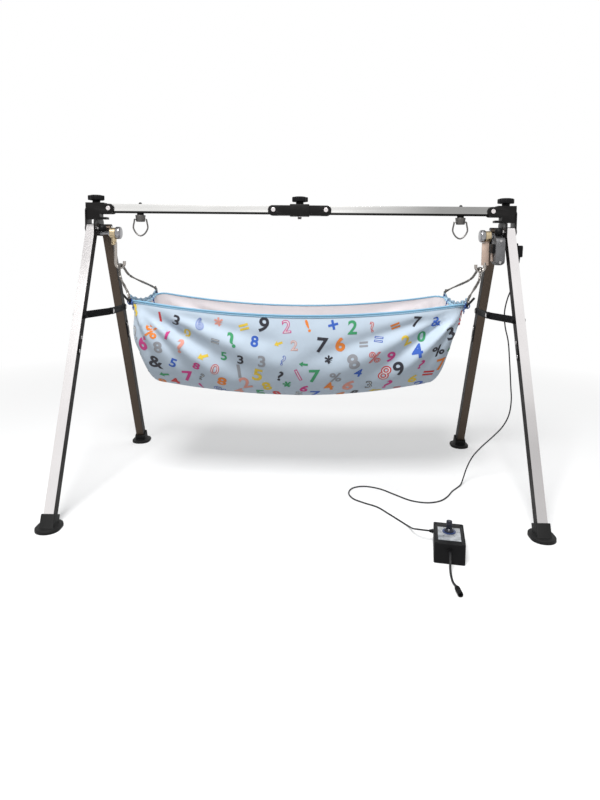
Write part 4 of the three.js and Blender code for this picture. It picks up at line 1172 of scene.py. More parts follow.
@dataclass
class HammockCloth:
    """The form of the hammock's cloth: a deep trough that hangs from its four corners."""

    half_length: float = 0.448
    half_width: float = 0.150
    middle_y: float = -0.008
    corner: float = 0.547
    sag: float = 0.038
    end_sag: float = 0.022
    depth: float = 0.285
    keel: float = 0.060
    keel_left: float = 0.044
    swell: float = 0.05
    swell_by: float = 0.5
    round: float = 0.036
    belly: float = 0.004
    fold_depth: float = 0.009
    fold_waves: float = 2.0
    fold_reach: float = 0.135
    fold_spread: float = 0.095
    fold_fade: float = 0.060
    end_steps: int = 14
    corner_steps: int = 7
    side_steps: int = 70
    rows: int = 58
    fall_power: float = 0.95
    lean: float = 0.11
    toe: float = 0.04
    toe_power: int = 8
    side_spread: float = 1.25
    fine_fade: float = 0.02
    rod_off: float = 0.003
    rod_drop: float = 0.0015
    spine_share: float = 0.8
    spine_z: float = 0.5
    probe_along: float = 0.004
    probe_down: float = 0.01
    crinkles: tuple[tuple[float, ...], ...] = (
        (0.0016, 31, 0, 2.0, 9, 23), (0.0007, 88, -61, 0, 37, 49))
    left_folds: tuple[Fold, ...] = (
        Fold(66, 4, 0.0045, 0.03, 0.22), Fold(53, 4.5, -0.0067, 0.05, 0.40),
        Fold(43, 4.5, 0.0075, 0.07, 0.46), Fold(33, 4.5, -0.0060, 0.09, 0.50),
        Fold(24, 4, 0.0053, 0.10, 0.52), Fold(16, 3, -0.0030, 0.12, 0.48),
        Fold(74, 2.5, -0.0030, 0.03, 0.16), Fold(59, 1.8, 0.0018, 0.03, 0.14),
        Fold(38, 1.6, -0.0018, 0.08, 0.24),
    )
    right_folds: tuple[Fold, ...] = (
        Fold(60, 4, -0.0053, 0.04, 0.34), Fold(50, 4, 0.0060, 0.05, 0.40),
        Fold(40, 4, -0.0063, 0.06, 0.44), Fold(30, 4, 0.0060, 0.08, 0.50),
        Fold(21, 3.5, -0.0045, 0.10, 0.50), Fold(70, 2.2, 0.0030, 0.02, 0.16),
        Fold(46, 1.3, -0.0021, 0.02, 0.13), Fold(55, 1.3, 0.0021, 0.02, 0.12),
        Fold(64, 1.3, -0.0021, 0.02, 0.12), Fold(37, 1.3, 0.0018, 0.03, 0.14),
        Fold(76, 1.5, -0.0021, 0.02, 0.12), Fold(27, 1.4, -0.0015, 0.04, 0.18),
    )

    def rim_height(self, along: float, across: float) -> float:
        """The height of the rim by the share of the half length and of the half width."""
        side = self.sag * (1 - along**2) * across**2
        end = self.end_sag * (1 - across**2) * along**2
        return self.corner - side - end

    def rod_seat(self, side: int, share: float) -> Vector:
        """The middle of the spreader rod at a share of the half width, from the middle's y."""
        z = self.rim_height(1, share) - self.rod_drop
        return Vector((side * (self.half_length + self.rod_off), share * self.half_width, z))

    def spine(self, x: float) -> Vector:
        """The point inside the trough that the cloth at x faces away from."""
        return Vector((self.spine_share * x, self.middle_y, self.spine_z))

    def shares(self, down: float, side_x: int = 1) -> tuple[float, float, float, float, float]:
        """How the cloth stands at a height.

        Args:
            down: from 0 at the rim to 1 at the keel.
            side_x: -1 for the left half and 1 for the right one.

        Returns:
            How far it has fallen, its half length and width, its corner and its width share.
        """
        slope = min(down, 1.0) * QUARTER_TURN
        fall = math.sin(slope) ** self.fall_power
        share = max(0.0, math.cos(slope))
        swell = self.swell * eased(fall / self.swell_by) if side_x < 0 else 0.0
        shrunk = self.lean * fall + self.toe * fall**self.toe_power
        half_length = self.half_length * (1 - shrunk + swell)
        half_width = self.half_width * share + self.belly * math.sin(math.pi * fall)
        return fall, half_length, half_width, self.round * share, share

    def surface(self, x: float, y: float, out: tuple[float, float], down: float) -> Vector:
        """The outer face where an unfolded trough would be at x and y.

        Args:
            x: along the beam.
            y: from the middle of the hammock.
            out: the way out of the trough there, in X and Y.
            down: from 0 at the rim to 1 at the keel.

        Returns:
            The point on the folded cloth.
        """
        side = -1 if x < 0 else 1
        fall, half_length, half_width, _, share = self.shares(down, side)
        across = y / half_width if half_width > MERGE else 0.0
        rim = self.rim_height(x / half_length, across)
        keel = self.keel_left if side < 0 else self.keel
        low = self.corner - self.depth + keel * (x / self.half_length) ** 2
        z = rim - (rim - low) * fall
        from_end = self.half_length - abs(x)
        from_rim = self.corner - z
        reach = math.hypot(from_end, from_rim)
        angle = math.atan2(from_rim, from_end)
        near = math.exp(-(((reach - self.fold_reach) / self.fold_spread) ** 2))
        lift = self.fold_depth * math.sin(4 * self.fold_waves * angle) * near
        lift *= min(1.0, from_rim / self.fold_fade)
        folds = self.left_folds if side < 0 else self.right_folds
        fine = sum(fold.lift(math.degrees(angle), reach) for fold in folds)
        lift += fine * min(1.0, from_rim / self.fine_fade)
        crinkle = sum(
            height * math.sin(a * x + b * z + c) * math.sin(d * x + e * z)
            for height, a, b, c, d, e in self.crinkles)
        lift = (lift + crinkle * math.sin(math.pi * fall)) * share
        return Vector((x + lift * out[0], self.middle_y + y + lift * out[1], z))

    def ring_point(self, index: int, down: float) -> Vector:
        """A point of the outer face by its place round the hammock, from the right end's middle."""
        quarter_steps = self.end_steps + self.corner_steps + self.side_steps
        quarter, within = divmod(index % (4 * quarter_steps), quarter_steps)
        step = within if quarter % 2 == 0 else quarter_steps - within
        side_x = 1 if quarter in (0, 3) else -1
        side_y = 1 if quarter < 2 else -1
        _, half_length, half_width, radius, _ = self.shares(down, side_x)
        if step < self.end_steps:
            y = side_y * (half_width - radius) * step / self.end_steps
            return self.surface(side_x * half_length, y, (side_x, 0), down)
        turned = (step - self.end_steps) / self.corner_steps
        if turned <= 1:
            out, over = math.cos(turned * QUARTER_TURN), math.sin(turned * QUARTER_TURN)
            x, y = half_length - radius + radius * out, half_width - radius + radius * over
            return self.surface(side_x * x, side_y * y, (side_x * out, side_y * over), down)
        left = (quarter_steps - step) / self.side_steps
        x = (half_length - radius) * (1 - (1 - left) ** self.side_spread)
        return self.surface(side_x * x, side_y * half_width, (0, side_y), down)

    def side_point(self, travel: float, down: float, side: int, proud: float = 0.0) -> Vector:
        """A point on one side, or round its corner on the end, standing proud of the cloth.

        Args:
            travel: how far along the side it is from the middle, round the corner where it is long.
            down: from 0 at the rim to 1 at the keel.
            side: -1 for the front and 1 for the back.
            proud: how far it stands off the cloth.

        Returns:
            The point.
        """
        side_x = -1 if travel < 0 else 1
        _, half_length, half_width, radius, _ = self.shares(down, side_x)
        run, past = abs(travel), abs(travel) - (half_length - radius)
        if radius > MERGE:
            turned = min(1.0, max(0.0, past / (radius * QUARTER_TURN)))
        else:
            turned = float(past > 0)
        out, over = math.sin(turned * QUARTER_TURN), math.cos(turned * QUARTER_TURN)
        x = min(run, half_length - radius) + radius * out
        y = half_width - radius + radius * over - max(0.0, past - radius * QUARTER_TURN)
        here = self.surface(side_x * x, side * y, (side_x * out, side * over), down)
        if not proud:
            return here
        beside = self.side_point(travel + self.probe_along, down, side)
        below = self.side_point(travel, min(1.0, down + self.probe_down), side)
        normal = (below - here).cross(beside - here).normalized()
        return here + normal * proud * (1 if normal.dot(here - self.spine(here.x)) > 0 else -1)

    def side_reach(self, down: float, side_x: int) -> float:
        """How far a side runs from its middle, round the corner to the middle of the end."""
        _, half_length, half_width, radius, _ = self.shares(down, side_x)
        return half_length - radius + radius * QUARTER_TURN + half_width - radius

    def around(self) -> int:
        """How many points one row of the cloth has."""
        return 4 * (self.end_steps + self.corner_steps + self.side_steps)


class Dye(Enum):
    """The inks of the cloth's print."""

    MAGENTA = (0.62, 0.05, 0.25)
    ORANGE = (0.82, 0.24, 0.04)
    YELLOW = (0.8, 0.58, 0.06)
    RED = (0.6, 0.04, 0.04)
    BLUE = (0.04, 0.12, 0.5)
    GREEN = (0.05, 0.32, 0.14)
    BLACK = (0.02, 0.02, 0.03)
    GREY = (0.3, 0.31, 0.34)
    SALMON = (0.75, 0.33, 0.27)
    WHITE = (0.72, 0.76, 0.78)


@dataclass
class Print:
    """Digits and signs scattered over the outside of the cloth, each a thin layer of ink."""

    cloth: HammockCloth
    signs: str = "0123456789+=%!?*<&"
    not_hollow: str = "<*+"
    round_signs: str = "68"
    columns: int = 20
    rows: int = 6
    row_gap: float = 0.048
    first_row: float = 0.034
    fabric_depth: float = 0.29
    sideways: float = 0.2
    up_down: float = 0.008
    sizes: tuple[float, float] = (0.038, 0.062)
    tilt: float = 22.0
    hollow_every: int = 4
    bold: float = 0.024
    bold_round: float = 0.036
    hollow: float = -0.022
    reach: float = 0.54
    edge: float = 0.4
    proud: float = 0.0005
    cell: float = 0.0045
    cut_span: float = 0.6
    seed: int = 7
    arrow_size: float = 0.8
    arrow: tuple[Corner, ...] = (
        (-0.42, 0.0), (-0.08, 0.26), (-0.08, 0.1), (0.36, 0.1), (0.36, -0.1), (-0.08, -0.1),
        (-0.08, -0.26))

    def lay(self, add: Callable[..., Piece]) -> list[Piece]:
        """Lays every sign; add sets a finished piece on the hammock and returns it."""
        chance = random.Random(self.seed)
        layers = {dye: Workpiece(f"print_{dye.name.lower()}") for dye in Dye}
        last: list[Dye] = []
        for side, row, column in itertools.product((-1, 1), range(self.rows), range(self.columns)):
            shift = 0.5 if row % 2 else 0.0
            jitter = chance.uniform(-self.sideways, self.sideways)
            x = self.reach * (2 * (column + shift + jitter) / (self.columns - 1) - 1)
            distance = self.first_row + self.row_gap * row
            distance += chance.uniform(-self.up_down, self.up_down)
            size = chance.uniform(*self.sizes)
            turn = math.radians(chance.uniform(-self.tilt, self.tilt))
            sign = chance.choice(self.signs)
            dye = chance.choice([d for d in Dye if d not in (*last, Dye.WHITE)])
            last = [*last[-2:], dye]
            down = min(1.0, distance / self.fabric_depth)
            if abs(x) >= self.cloth.side_reach(down, -1 if x < 0 else 1) - size * self.edge:
                continue
            place = (x, distance, side)
            weight = self.bold_round if sign in self.round_signs else self.bold
            layers[dye].put(self.sign(sign, size, turn, weight, place, self.proud), turn_out=False)
            if column % self.hollow_every == 1 and sign not in self.not_hollow:
                inner = self.sign(sign, size, turn, self.hollow, place, 2 * self.proud)
                layers[Dye.WHITE].put(inner, turn_out=False)
        return [
            add(layer, Woven(f"ink_{dye.name.lower()}", dye.value, contrast=0.12).material())
            for dye, layer in layers.items()
        ]

    def flat_sign(self, sign: str, size: float, turn: float, weight: float) -> Mesh:
        """A sign in the plane z = 0, turned, and cut fine enough to follow the cloth."""
        if sign == "<":
            part = bmesh.new()
            scale = self.arrow_size * size
            part.faces.new([part.verts.new((scale * x, scale * y, 0)) for x, y in self.arrow])
        else:
            part = letters(sign, size, size * weight)
        bmesh.ops.rotate(
            part, cent=(0, 0, 0), matrix=Matrix.Rotation(turn, 3, "Z"), verts=part.verts)
        span = size * self.cut_span
        for axis in ((1, 0, 0), (0, 1, 0)):
            for i in range(1, round(2 * span / self.cell)):
                bmesh.ops.bisect_plane(
                    part, geom=part.verts[:] + part.edges[:] + part.faces[:],
                    plane_co=Vector(axis) * (i * self.cell - span), plane_no=axis)
        return part

    def sign(self, sign: str, size: float, turn: float, weight: float,
             place: tuple[float, float, int], proud: float) -> Mesh:
        """One sign laid on the cloth.

        Args:
            sign: the digit or sign.
            size: the height of its line.
            turn: how far it is turned.
            weight: how much bolder its strokes are, as a share of its size.
            place: its place along the beam, how far it is below the rim along the cloth, and -1 for
                the front or 1 for the back.
            proud: how far it stands off the cloth.

        Returns:
            The sign's mesh in place.
        """
        x, distance, side = place
        part = self.flat_sign(sign, size, turn, weight)
        line = [self.cloth.side_point(x, down, side) for down in FALLS]
        along = [0.0]
        for a, b in zip(line, line[1:]):
            along.append(along[-1] + (b - a).length)
        for vert in part.verts:
            wanted = distance - vert.co.y
            k = max(i for i, reached in enumerate(along[:-1]) if reached <= max(0.0, wanted))
            share = (wanted - along[k]) / (along[k + 1] - along[k])
            down = max(0.0, min(1.0, (k + share) / (len(FALLS) - 1)))
            vert.co = self.cloth.side_point(x - side * vert.co.x, down, side, proud)
        part.normal_update()
        spine = self.cloth.spine(self.cloth.side_point(x, 0.5, side).x)
        if sum(face.normal.dot(face.calc_center_median() - spine) for face in part.faces) < 0:
            bmesh.ops.reverse_faces(part, faces=part.faces)
        return part


@dataclass
class Hammock:
    """The cloth hammock with its piping, stitches, rod sleeves, frills and print."""

    finishes: Finishes
    cloth: HammockCloth = field(default_factory=HammockCloth)
    thickness: float = 0.0012
    body: str = "right_swing"
    piping_radius: float = 0.0027
    band_row: float = 0.035
    band_drop: float = 0.0065
    band_top_proud: float = 0.0011
    band_low_proud: float = 0.0013
    hem_thickness: float = 0.0006
    stitch_share: float = 0.72
    stitch_proud: float = 0.0022
    stitch_gap: float = 0.0065
    end_zone: float = 0.01
    inner_z: float = 0.47
    merge: float = 0.00005
    anchor: Point = (0.5228, 0.0, 0.0)
    keep: float = 0.222
    outside: Color = (0.545, 0.64, 0.742)
    inside: Color = (0.66, 0.62, 0.635)
    sleeve_reach: float = 0.86
    sleeve_radius: float = 0.0052
    sleeve_belly: float = 1.3
    wrinkle: float = 0.0006
    fine_wrinkle: float = 0.0004
    net_reach: float = 0.93
    net_foot: float = 0.0046
    net_height: float = 0.0125
    net_thickness: float = 0.0005
    net_uneven: float = 0.16
    net_flutter: float = 0.0016
    net_lean: float = 0.004
    net_shift: float = 0.0012
    tie_shares: tuple[float, ...] = (0.9, 0.55)
    tie_loop: Point = (0.0062, 0.002, 0.0078)
    loop_drop: float = 0.001
    knot: Point = (0.006, 0.001, -0.004)
    tail_bend: float = 0.003
    tail_end: float = 0.002
    tie_tape: float = 0.0015
    tail_tape: float = 0.0012
    tails: tuple[tuple[float, float], ...] = ((0.02, 0.004), (0.015, -0.003))

    def make(self) -> None:
        cloth = self.make_cloth()
        sewn = [self.make_piping(), self.make_band(), self.make_stitches()]
        for name, side in SIDES:
            sewn += [make(name, side) for make in (self.make_sleeve, self.make_net, self.make_ties)]
        sewn += Print(self.cloth).lay(self.add)
        length, width, area = self.flat_size()
        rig.sheet(
            cloth, flat=(width, length), held="hung",
            rests_on=["left_spreader_rod", "right_spreader_rod"],
            area=min(area, width * length), with_pieces=sewn)
        log.info("hammock cut %.3f x %.3f m, %.3f square metres", width, length, area)

    def add(self, piece: Workpiece, material: Material, replaces: Sequence[str] = ()) -> Piece:
        """Sets a sewn piece on the hammock's body, and lets it crumple as the stand folds."""
        done = piece.set_down(self.body, "cloth", material, replaces, crease=60.0)
        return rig.squash(done, "beam_fold", axis=(1, 0, 0), anchor=self.anchor, keep=self.keep)

    def add_to_rod(self, piece: Workpiece, name: str, material: Material) -> Piece:
        """Sets a sewn piece on the spreader rod that it holds, so that it tips with the hanger."""
        return piece.set_down(f"{name}_hanger", "cloth", material, crease=60.0)

    def make_cloth(self) -> Piece:
        """The trough itself: printed side out, plain side in."""
        around, rows = self.cloth.around(), self.cloth.rows
        part = bmesh.new()
        bmesh.ops.create_grid(part, x_segments=around, y_segments=rows, size=1.0)
        for vert in part.verts:
            index = round((vert.co.x + 1) / 2 * around)
            vert.co = self.cloth.ring_point(index, (1 - vert.co.y) / 2)
        bmesh.ops.remove_doubles(part, verts=part.verts, dist=self.merge)
        bmesh.ops.dissolve_degenerate(part, edges=part.edges, dist=self.merge * 0.4)
        bmesh.ops.recalc_face_normals(part, faces=part.faces)
        middle = Vector((0, self.cloth.middle_y, self.inner_z))
        outward = sum(
            1 if f.normal.dot(f.calc_center_median() - middle) > 0 else -1 for f in part.faces)
        if outward < 0:
            bmesh.ops.reverse_faces(part, faces=part.faces)
        bmesh.ops.solidify(part, geom=part.faces[:], thickness=self.thickness)
        part.normal_update()
        for face in part.faces:
            centre = face.calc_center_median()
            looks_in = face.normal.dot(centre - self.cloth.spine(centre.x)) <= 0
            face.material_index = int(looks_in)
        piece = Workpiece("hammock_cloth").put(part, turn_out=False)
        outside = Woven("hammock_outside", self.outside, contrast=0.04).material()
        cloth = self.add(piece, outside, ("hammock",))
        cloth.data.materials.append(Woven("hammock_inside", self.inside, contrast=0.03).material())
        return cloth

    def rim_line(self, down: float = 0.0) -> list[Vector]:
        """The closed line of the rim, or of a row a little below it."""
        return [self.cloth.ring_point(i, down) for i in range(self.cloth.around())]

    def below_rim(self, drop: float, proud: float) -> list[Vector]:
        """The closed line that lies a drop below the rim and stands proud of the cloth."""
        line = []
        for a, b in zip(self.rim_line(), self.rim_line(self.band_row)):
            if abs(a.x) > self.cloth.half_length - self.end_zone:
                out = Vector((math.copysign(1, a.x), 0, 0))
            else:
                out = Vector((0, math.copysign(1, a.y - self.cloth.middle_y), 0))
            line.append(a + (b - a).normalized() * drop + out * proud)
        return line

    def make_piping(self) -> Piece:
        """The rolled blue edge along the rim."""
        wire = Shape.bent(self.rim_line(), self.piping_radius, closed=True)
        return self.add(Workpiece("hammock_piping").put(wire), self.finishes.piping)

    def make_band(self) -> Piece:
        """The binding below the rolled edge, on the outer face."""
        part = bmesh.new()
        rings = []
        for drop, proud in ((0.0, self.band_top_proud), (self.band_drop, self.band_low_proud)):
            verts = [part.verts.new(point) for point in self.below_rim(drop, proud)]
            rings += [part.edges.new(pair) for pair in zip(verts, verts[1:] + verts[:1])]
        bmesh.ops.bridge_loops(part, edges=rings)
        bmesh.ops.recalc_face_normals(part, faces=part.faces)
        bmesh.ops.solidify(part, geom=part.faces[:], thickness=self.hem_thickness)
        return self.add(Workpiece("hammock_binding").put(part), self.finishes.piping)

    def make_stitches(self) -> Piece:
        """A running stitch along the binding."""
        piece = Workpiece("hammock_stitches")
        row = self.below_rim(self.band_drop * self.stitch_share, self.stitch_proud)
        travelled, due = 0.0, 0.0
        for a, b in zip(row, [*row[1:], row[0]]):
            span = (b - a).length
            while due < travelled + span:
                turn = (b - a).normalized().to_track_quat("X", "Z").to_matrix().to_4x4()
                spot = a.lerp(b, (due - travelled) / span)
                piece.put(Block.STITCH.cut(), Matrix.Translation(spot) @ turn)
                due += self.stitch_gap
            travelled += span
        return self.add(piece, self.finishes.thread)

    def rod_point(self, side: int, share: float, rise: float = 0.0) -> Vector:
        """The middle of the spreader rod at a share of the half width, or a rise above it."""
        return self.cloth.rod_seat(side, share) + Vector((0, self.cloth.middle_y, rise))

    def make_sleeve(self, name: str, side: int) -> Piece:
        """The hem that holds the spreader rod: a loose cloth tube, wrinkled where it gathers."""
        part = bmesh.new()
        bmesh.ops.create_grid(part, x_segments=14, y_segments=54, size=1.0)
        for vert in part.verts:
            turn = (vert.co.x + 1) / 2 * FULL_TURN
            share = self.sleeve_reach * vert.co.y
            radius = self.sleeve_radius + self.wrinkle * math.sin(60 * share + 2 * turn)
            radius += self.fine_wrinkle * math.sin(140 * share)
            tall = radius * (self.sleeve_belly if math.sin(turn) < 0 else 1.0)
            off = Vector((radius * math.cos(turn), 0, tall * math.sin(turn)))
            vert.co = self.rod_point(side, share) + off
        bmesh.ops.remove_doubles(part, verts=part.verts, dist=self.merge)
        bmesh.ops.recalc_face_normals(part, faces=part.faces)
        bmesh.ops.solidify(part, geom=part.faces[:], thickness=-self.hem_thickness)
        return self.add_to_rod(Workpiece(f"{name}_rod_sleeve").put(part), name, self.finishes.net)

    def make_net(self, name: str, side: int) -> Piece:
        """The loose edge of cloth that is gathered on the rod, standing above the end rim."""
        part = bmesh.new()
        bmesh.ops.create_grid(part, x_segments=120, y_segments=6, size=1.0)
        for vert in part.verts:
            share, rise = self.net_reach * vert.co.x, (vert.co.y + 1) / 2
            wave = math.sin(38 * share + side) + 0.6 * math.sin(61 * share + 2.0)
            uneven = 1 + self.net_uneven * math.sin(19 * share + 1.0)
            foot = self.rod_point(side, share, self.net_foot + self.net_height * rise * uneven)
            lean = side * (self.net_flutter * wave * rise - self.net_lean * rise**2)
            vert.co = foot + Vector((lean, self.net_shift * wave * rise, 0))
        bmesh.ops.solidify(part, geom=part.faces[:], thickness=self.net_thickness)
        return self.add_to_rod(Workpiece(f"{name}_net").put(part), name, self.finishes.net)

    def make_ties(self, name: str, side: int) -> Piece:
        """The knotted tapes that tie the corners to the rod."""
        piece = Workpiece(f"{name}_ties")
        for depth, share in itertools.product((-1, 1), self.tie_shares):
            centre = self.rod_point(side, depth * share)
            wide, skew, tall = self.tie_loop
            loop = [
                centre + Vector((wide * math.cos(t), skew * math.sin(2 * t),
                                 tall * math.sin(t) - self.loop_drop)) for t in angles(24)]
            piece.put(Shape.bent(loop, self.tie_tape, closed=True, round_steps=2))
            inward, out, up = self.knot
            knot = centre + Vector((-side * inward, depth * out, up))
            piece.put(Profile.TIE_KNOT.turned(), Matrix.Translation(knot))
            for drop, lean in self.tails:
                bend = knot + Vector((-side * self.tail_bend, lean / 2, -drop / 2))
                end = knot + Vector((-side * self.tail_end, lean, -drop))
                tail = smooth_path([knot, bend, end], 6)
                piece.put(Shape.bent(tail, self.tail_tape, round_steps=2))
        return self.add_to_rod(piece, name, self.finishes.tie_cloth)

    def flat_size(self) -> tuple[float, float, float]:
        """The cut cloth's length, width and area, measured over the finished form."""
        end = [self.cloth.ring_point(0, down) for down in FALLS]
        length = 2 * path_length(end) + 2 * end[-1].x
        width = 2 * path_length([self.cloth.side_point(0, down, -1) for down in FALLS])
        rings = [self.rim_line(down)[::2] for down in FALLS[::2]]
        area = 0.0
        for upper, lower in zip(rings, rings[1:]):
            for i in range(len(upper)):
                j = (i + 1) % len(upper)
                area += (lower[i] - upper[j]).cross(upper[i] - lower[j]).length / 2
        return length, width, area


@dataclass
class Hardware:
    """Shared small parts: rivets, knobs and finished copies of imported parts."""

    finishes: Finishes
    knob_radius: float = 0.0235
    lobe_radius: float = 0.006
    lobes: int = 7
    knob_foot: float = 0.8131
    knob_stem: float = 0.007
    knob_height: float = 0.015
    knob_rim: float = 0.0024
    dish_height: float = 0.0012
    shank_radius: float = 0.004
    shank_length: float = 0.016
    shank_depth: float = 0.0155
    thread_radius: float = 0.006
    thread_root: float = 0.0054
    thread_pitch: float = 0.0008
    tip_radius: float = 0.0048
    tip_height: float = 0.0012

    def finish_node(self, node: str, slot: str, material: Material, rim: float = 0.001,
                    steps: int = 2, other: tuple[Point, Material] | None = None,
                    facing: float = 0.2, crease: float = 32.0) -> Piece:
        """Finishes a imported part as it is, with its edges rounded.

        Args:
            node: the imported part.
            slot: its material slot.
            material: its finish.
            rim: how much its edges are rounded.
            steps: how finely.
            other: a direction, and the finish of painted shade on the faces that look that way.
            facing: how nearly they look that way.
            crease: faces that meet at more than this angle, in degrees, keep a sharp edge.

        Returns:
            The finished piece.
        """
        piece = Workpiece(f"{node}_finished").put(Shape.node_copy(node, rim, steps), turn_out=False)
        done = piece.set_down(carrier(node), slot, material, (node,), crease)
        # The second finish is painted shade on the faces that look one way.
        if other:
            done.data.materials.append(other[1])
            for face in done.data.polygons:
                face.material_index = int(face.normal.dot(Vector(other[0])) > facing)
        return done

    def lobe_outline(self, steps: int = 126) -> list[Corner]:
        """The outline of a knob with round lobes."""
        outline = []
        middle = self.knob_radius - self.lobe_radius
        pitch = FULL_TURN / self.lobes
        for turn in angles(steps):
            off = (turn + pitch / 2) % pitch - pitch / 2
            across = middle * math.sin(off)
            reach = self.knob_radius - self.lobe_radius / 2
            if abs(across) < self.lobe_radius:
                lobe = math.sqrt(self.lobe_radius**2 - across**2)
                reach = max(reach, middle * math.cos(off) + lobe)
            outline.append((reach * math.cos(turn), reach * math.sin(turn)))
        return outline

    def hand_knob(self, name: str, node: str, x: float) -> None:
        """A lobed knob with a dished top, standing at x on its stem."""
        low = self.knob_foot + self.knob_stem
        dish_foot = self.knob_height - self.dish_height
        piece = Workpiece(name)
        piece.put(Shape.plate(self.lobe_outline(), dish_foot, self.knob_rim, 3), at(x, 0, low))
        piece.put(Profile.KNOB_DISH.turned(), at(x, 0, low + dish_foot))
        piece.put(Profile.KNOB_STEM.turned(), at(x, 0, self.knob_foot))
        piece.put(Shape.rod(self.shank_radius, self.shank_length),
                  at(x, 0, self.knob_foot - self.shank_depth))
        piece.set_down(node, "black_plastic", self.finishes.black_plastic, (node,))

    def stud(self, name: str, body: str, low: float, high: float) -> None:
        """The threaded end of a stud below the middle of the beam, from low to high."""
        length = high - low
        thread = [(0, 0), (self.tip_radius, 0), (self.thread_radius, self.tip_height)]
        height = self.tip_height
        while height < length - self.tip_height:
            thread += [(self.thread_radius, height),
                       (self.thread_root, height + self.thread_pitch / 2)]
            height += self.thread_pitch
        thread += [(self.thread_radius, length), (0, length)]
        piece = Workpiece(name).put(Shape.turned(thread, 24), at(0, 0, low))
        piece.set_down(body, "chrome", self.finishes.chrome)

    def rivet(self, piece: Workpiece, axis: Axis, place: Sequence[float], side: int,
              radius: float = 0.0069, height: float = 0.003) -> None:
        """Adds a rivet head that stands out along an axis.

        Args:
            piece: the piece that it is added to.
            axis: X for a domed head, or Y for one with a dimple.
            place: the middle of its foot.
            side: which way along the axis it stands out.
            radius: its radius.
            height: its height.
        """
        head = Profile.DOMED_HEAD if axis is Axis.X else Profile.DIMPLED_HEAD
        piece.put(head.turned(radius, height), axis.place(place, side))


@dataclass
class Beams:
    """Both halves of the beam, the middle bracket with its knob, and the rings below."""

    hardware: Hardware
    height: float = 0.797
    rivet_x: float = 0.075
    cheek: float = 0.0162
    proud: float = 0.0002
    shank_radius: float = 0.004
    shank_half: float = 0.0163
    stud_low: float = 0.7706
    stud_high: float = 0.7785
    ring_x: float = 0.460
    ring_pivot: float = 0.7665
    ring_drop: float = 0.047
    ring_half: float = 0.022
    ring_top: float = 0.0174
    ring_wire: float = 0.0023
    ring_shares: tuple[Corner, ...] = ((0.93, -0.14), (1.06, -0.42), (1.04, -0.56), (0.6, -0.87))

    def make(self) -> None:
        """Makes every piece of the beam."""
        finishes, hardware = self.hardware.finishes, self.hardware
        for name, side in SIDES:
            # The beam's faces that look down take the painted underside shade.
            hardware.finish_node(f"{name}_beam", "steel", finishes.beam_steel, 0.0022, 3,
                                 ((0, 0, -1), finishes.under_steel))
            self.make_rivet(f"centre_rivet_{name}", "centre", side * self.rivet_x)
            self.make_ring(name, side)
        hardware.finish_node("centre_bracket", "black_metal", finishes.black_paint, 0.0012)
        hardware.hand_knob("centre_hand_knob", "centre_knob", 0.0)
        hardware.stud("centre_hand_knob_stud", "centre_knob", self.stud_low, self.stud_high)

    def make_rivet(self, node: str, body: str, x: float) -> None:
        """A rivet through both cheeks, with a head on the front and one on the back."""
        piece = Workpiece(f"{node}_head")
        for depth in (-1, 1):
            foot = (x, depth * (self.cheek + self.proud), self.height)
            self.hardware.rivet(piece, Axis.Y, foot, depth)
        piece.put(Shape.rod(self.shank_radius, 2 * self.shank_half),
                  Axis.Y.place((x, -self.shank_half, self.height)))
        piece.set_down(body, "chrome", self.hardware.finishes.rivet_steel, (node,))

    def make_ring(self, name: str, side: int) -> None:
        """The nut on the beam, the spacer and swivel below it, and the wire ring."""
        finishes, x = self.hardware.finishes, side * self.ring_x
        self.hardware.finish_node(
            f"{name}_ring_bolt", "black_metal", finishes.black_paint, 0.0006)
        self.hardware.finish_node(
            f"{name}_ring_swivel", "cast_metal", finishes.swivel_metal, 0.0011)
        wide, z = self.ring_half - self.ring_wire, self.ring_pivot
        right = [(x + w * wide, 0, z + d * self.ring_drop) for w, d in self.ring_shares]
        left = [(2 * x - px, 0, pz) for px, _, pz in reversed(right)]
        line = smooth_path(
            [(x + self.ring_top, 0, z), *right, (x, 0, z - self.ring_drop), *left,
             (x - self.ring_top, 0, z)], 10)
        piece = Workpiece(f"{name}_wire_ring")
        piece.put(Shape.bent([*line, line[0]], self.ring_wire, round_steps=4))
        piece.set_down(f"{name}_ring", "chrome", finishes.ring_steel, (f"{name}_ring",))


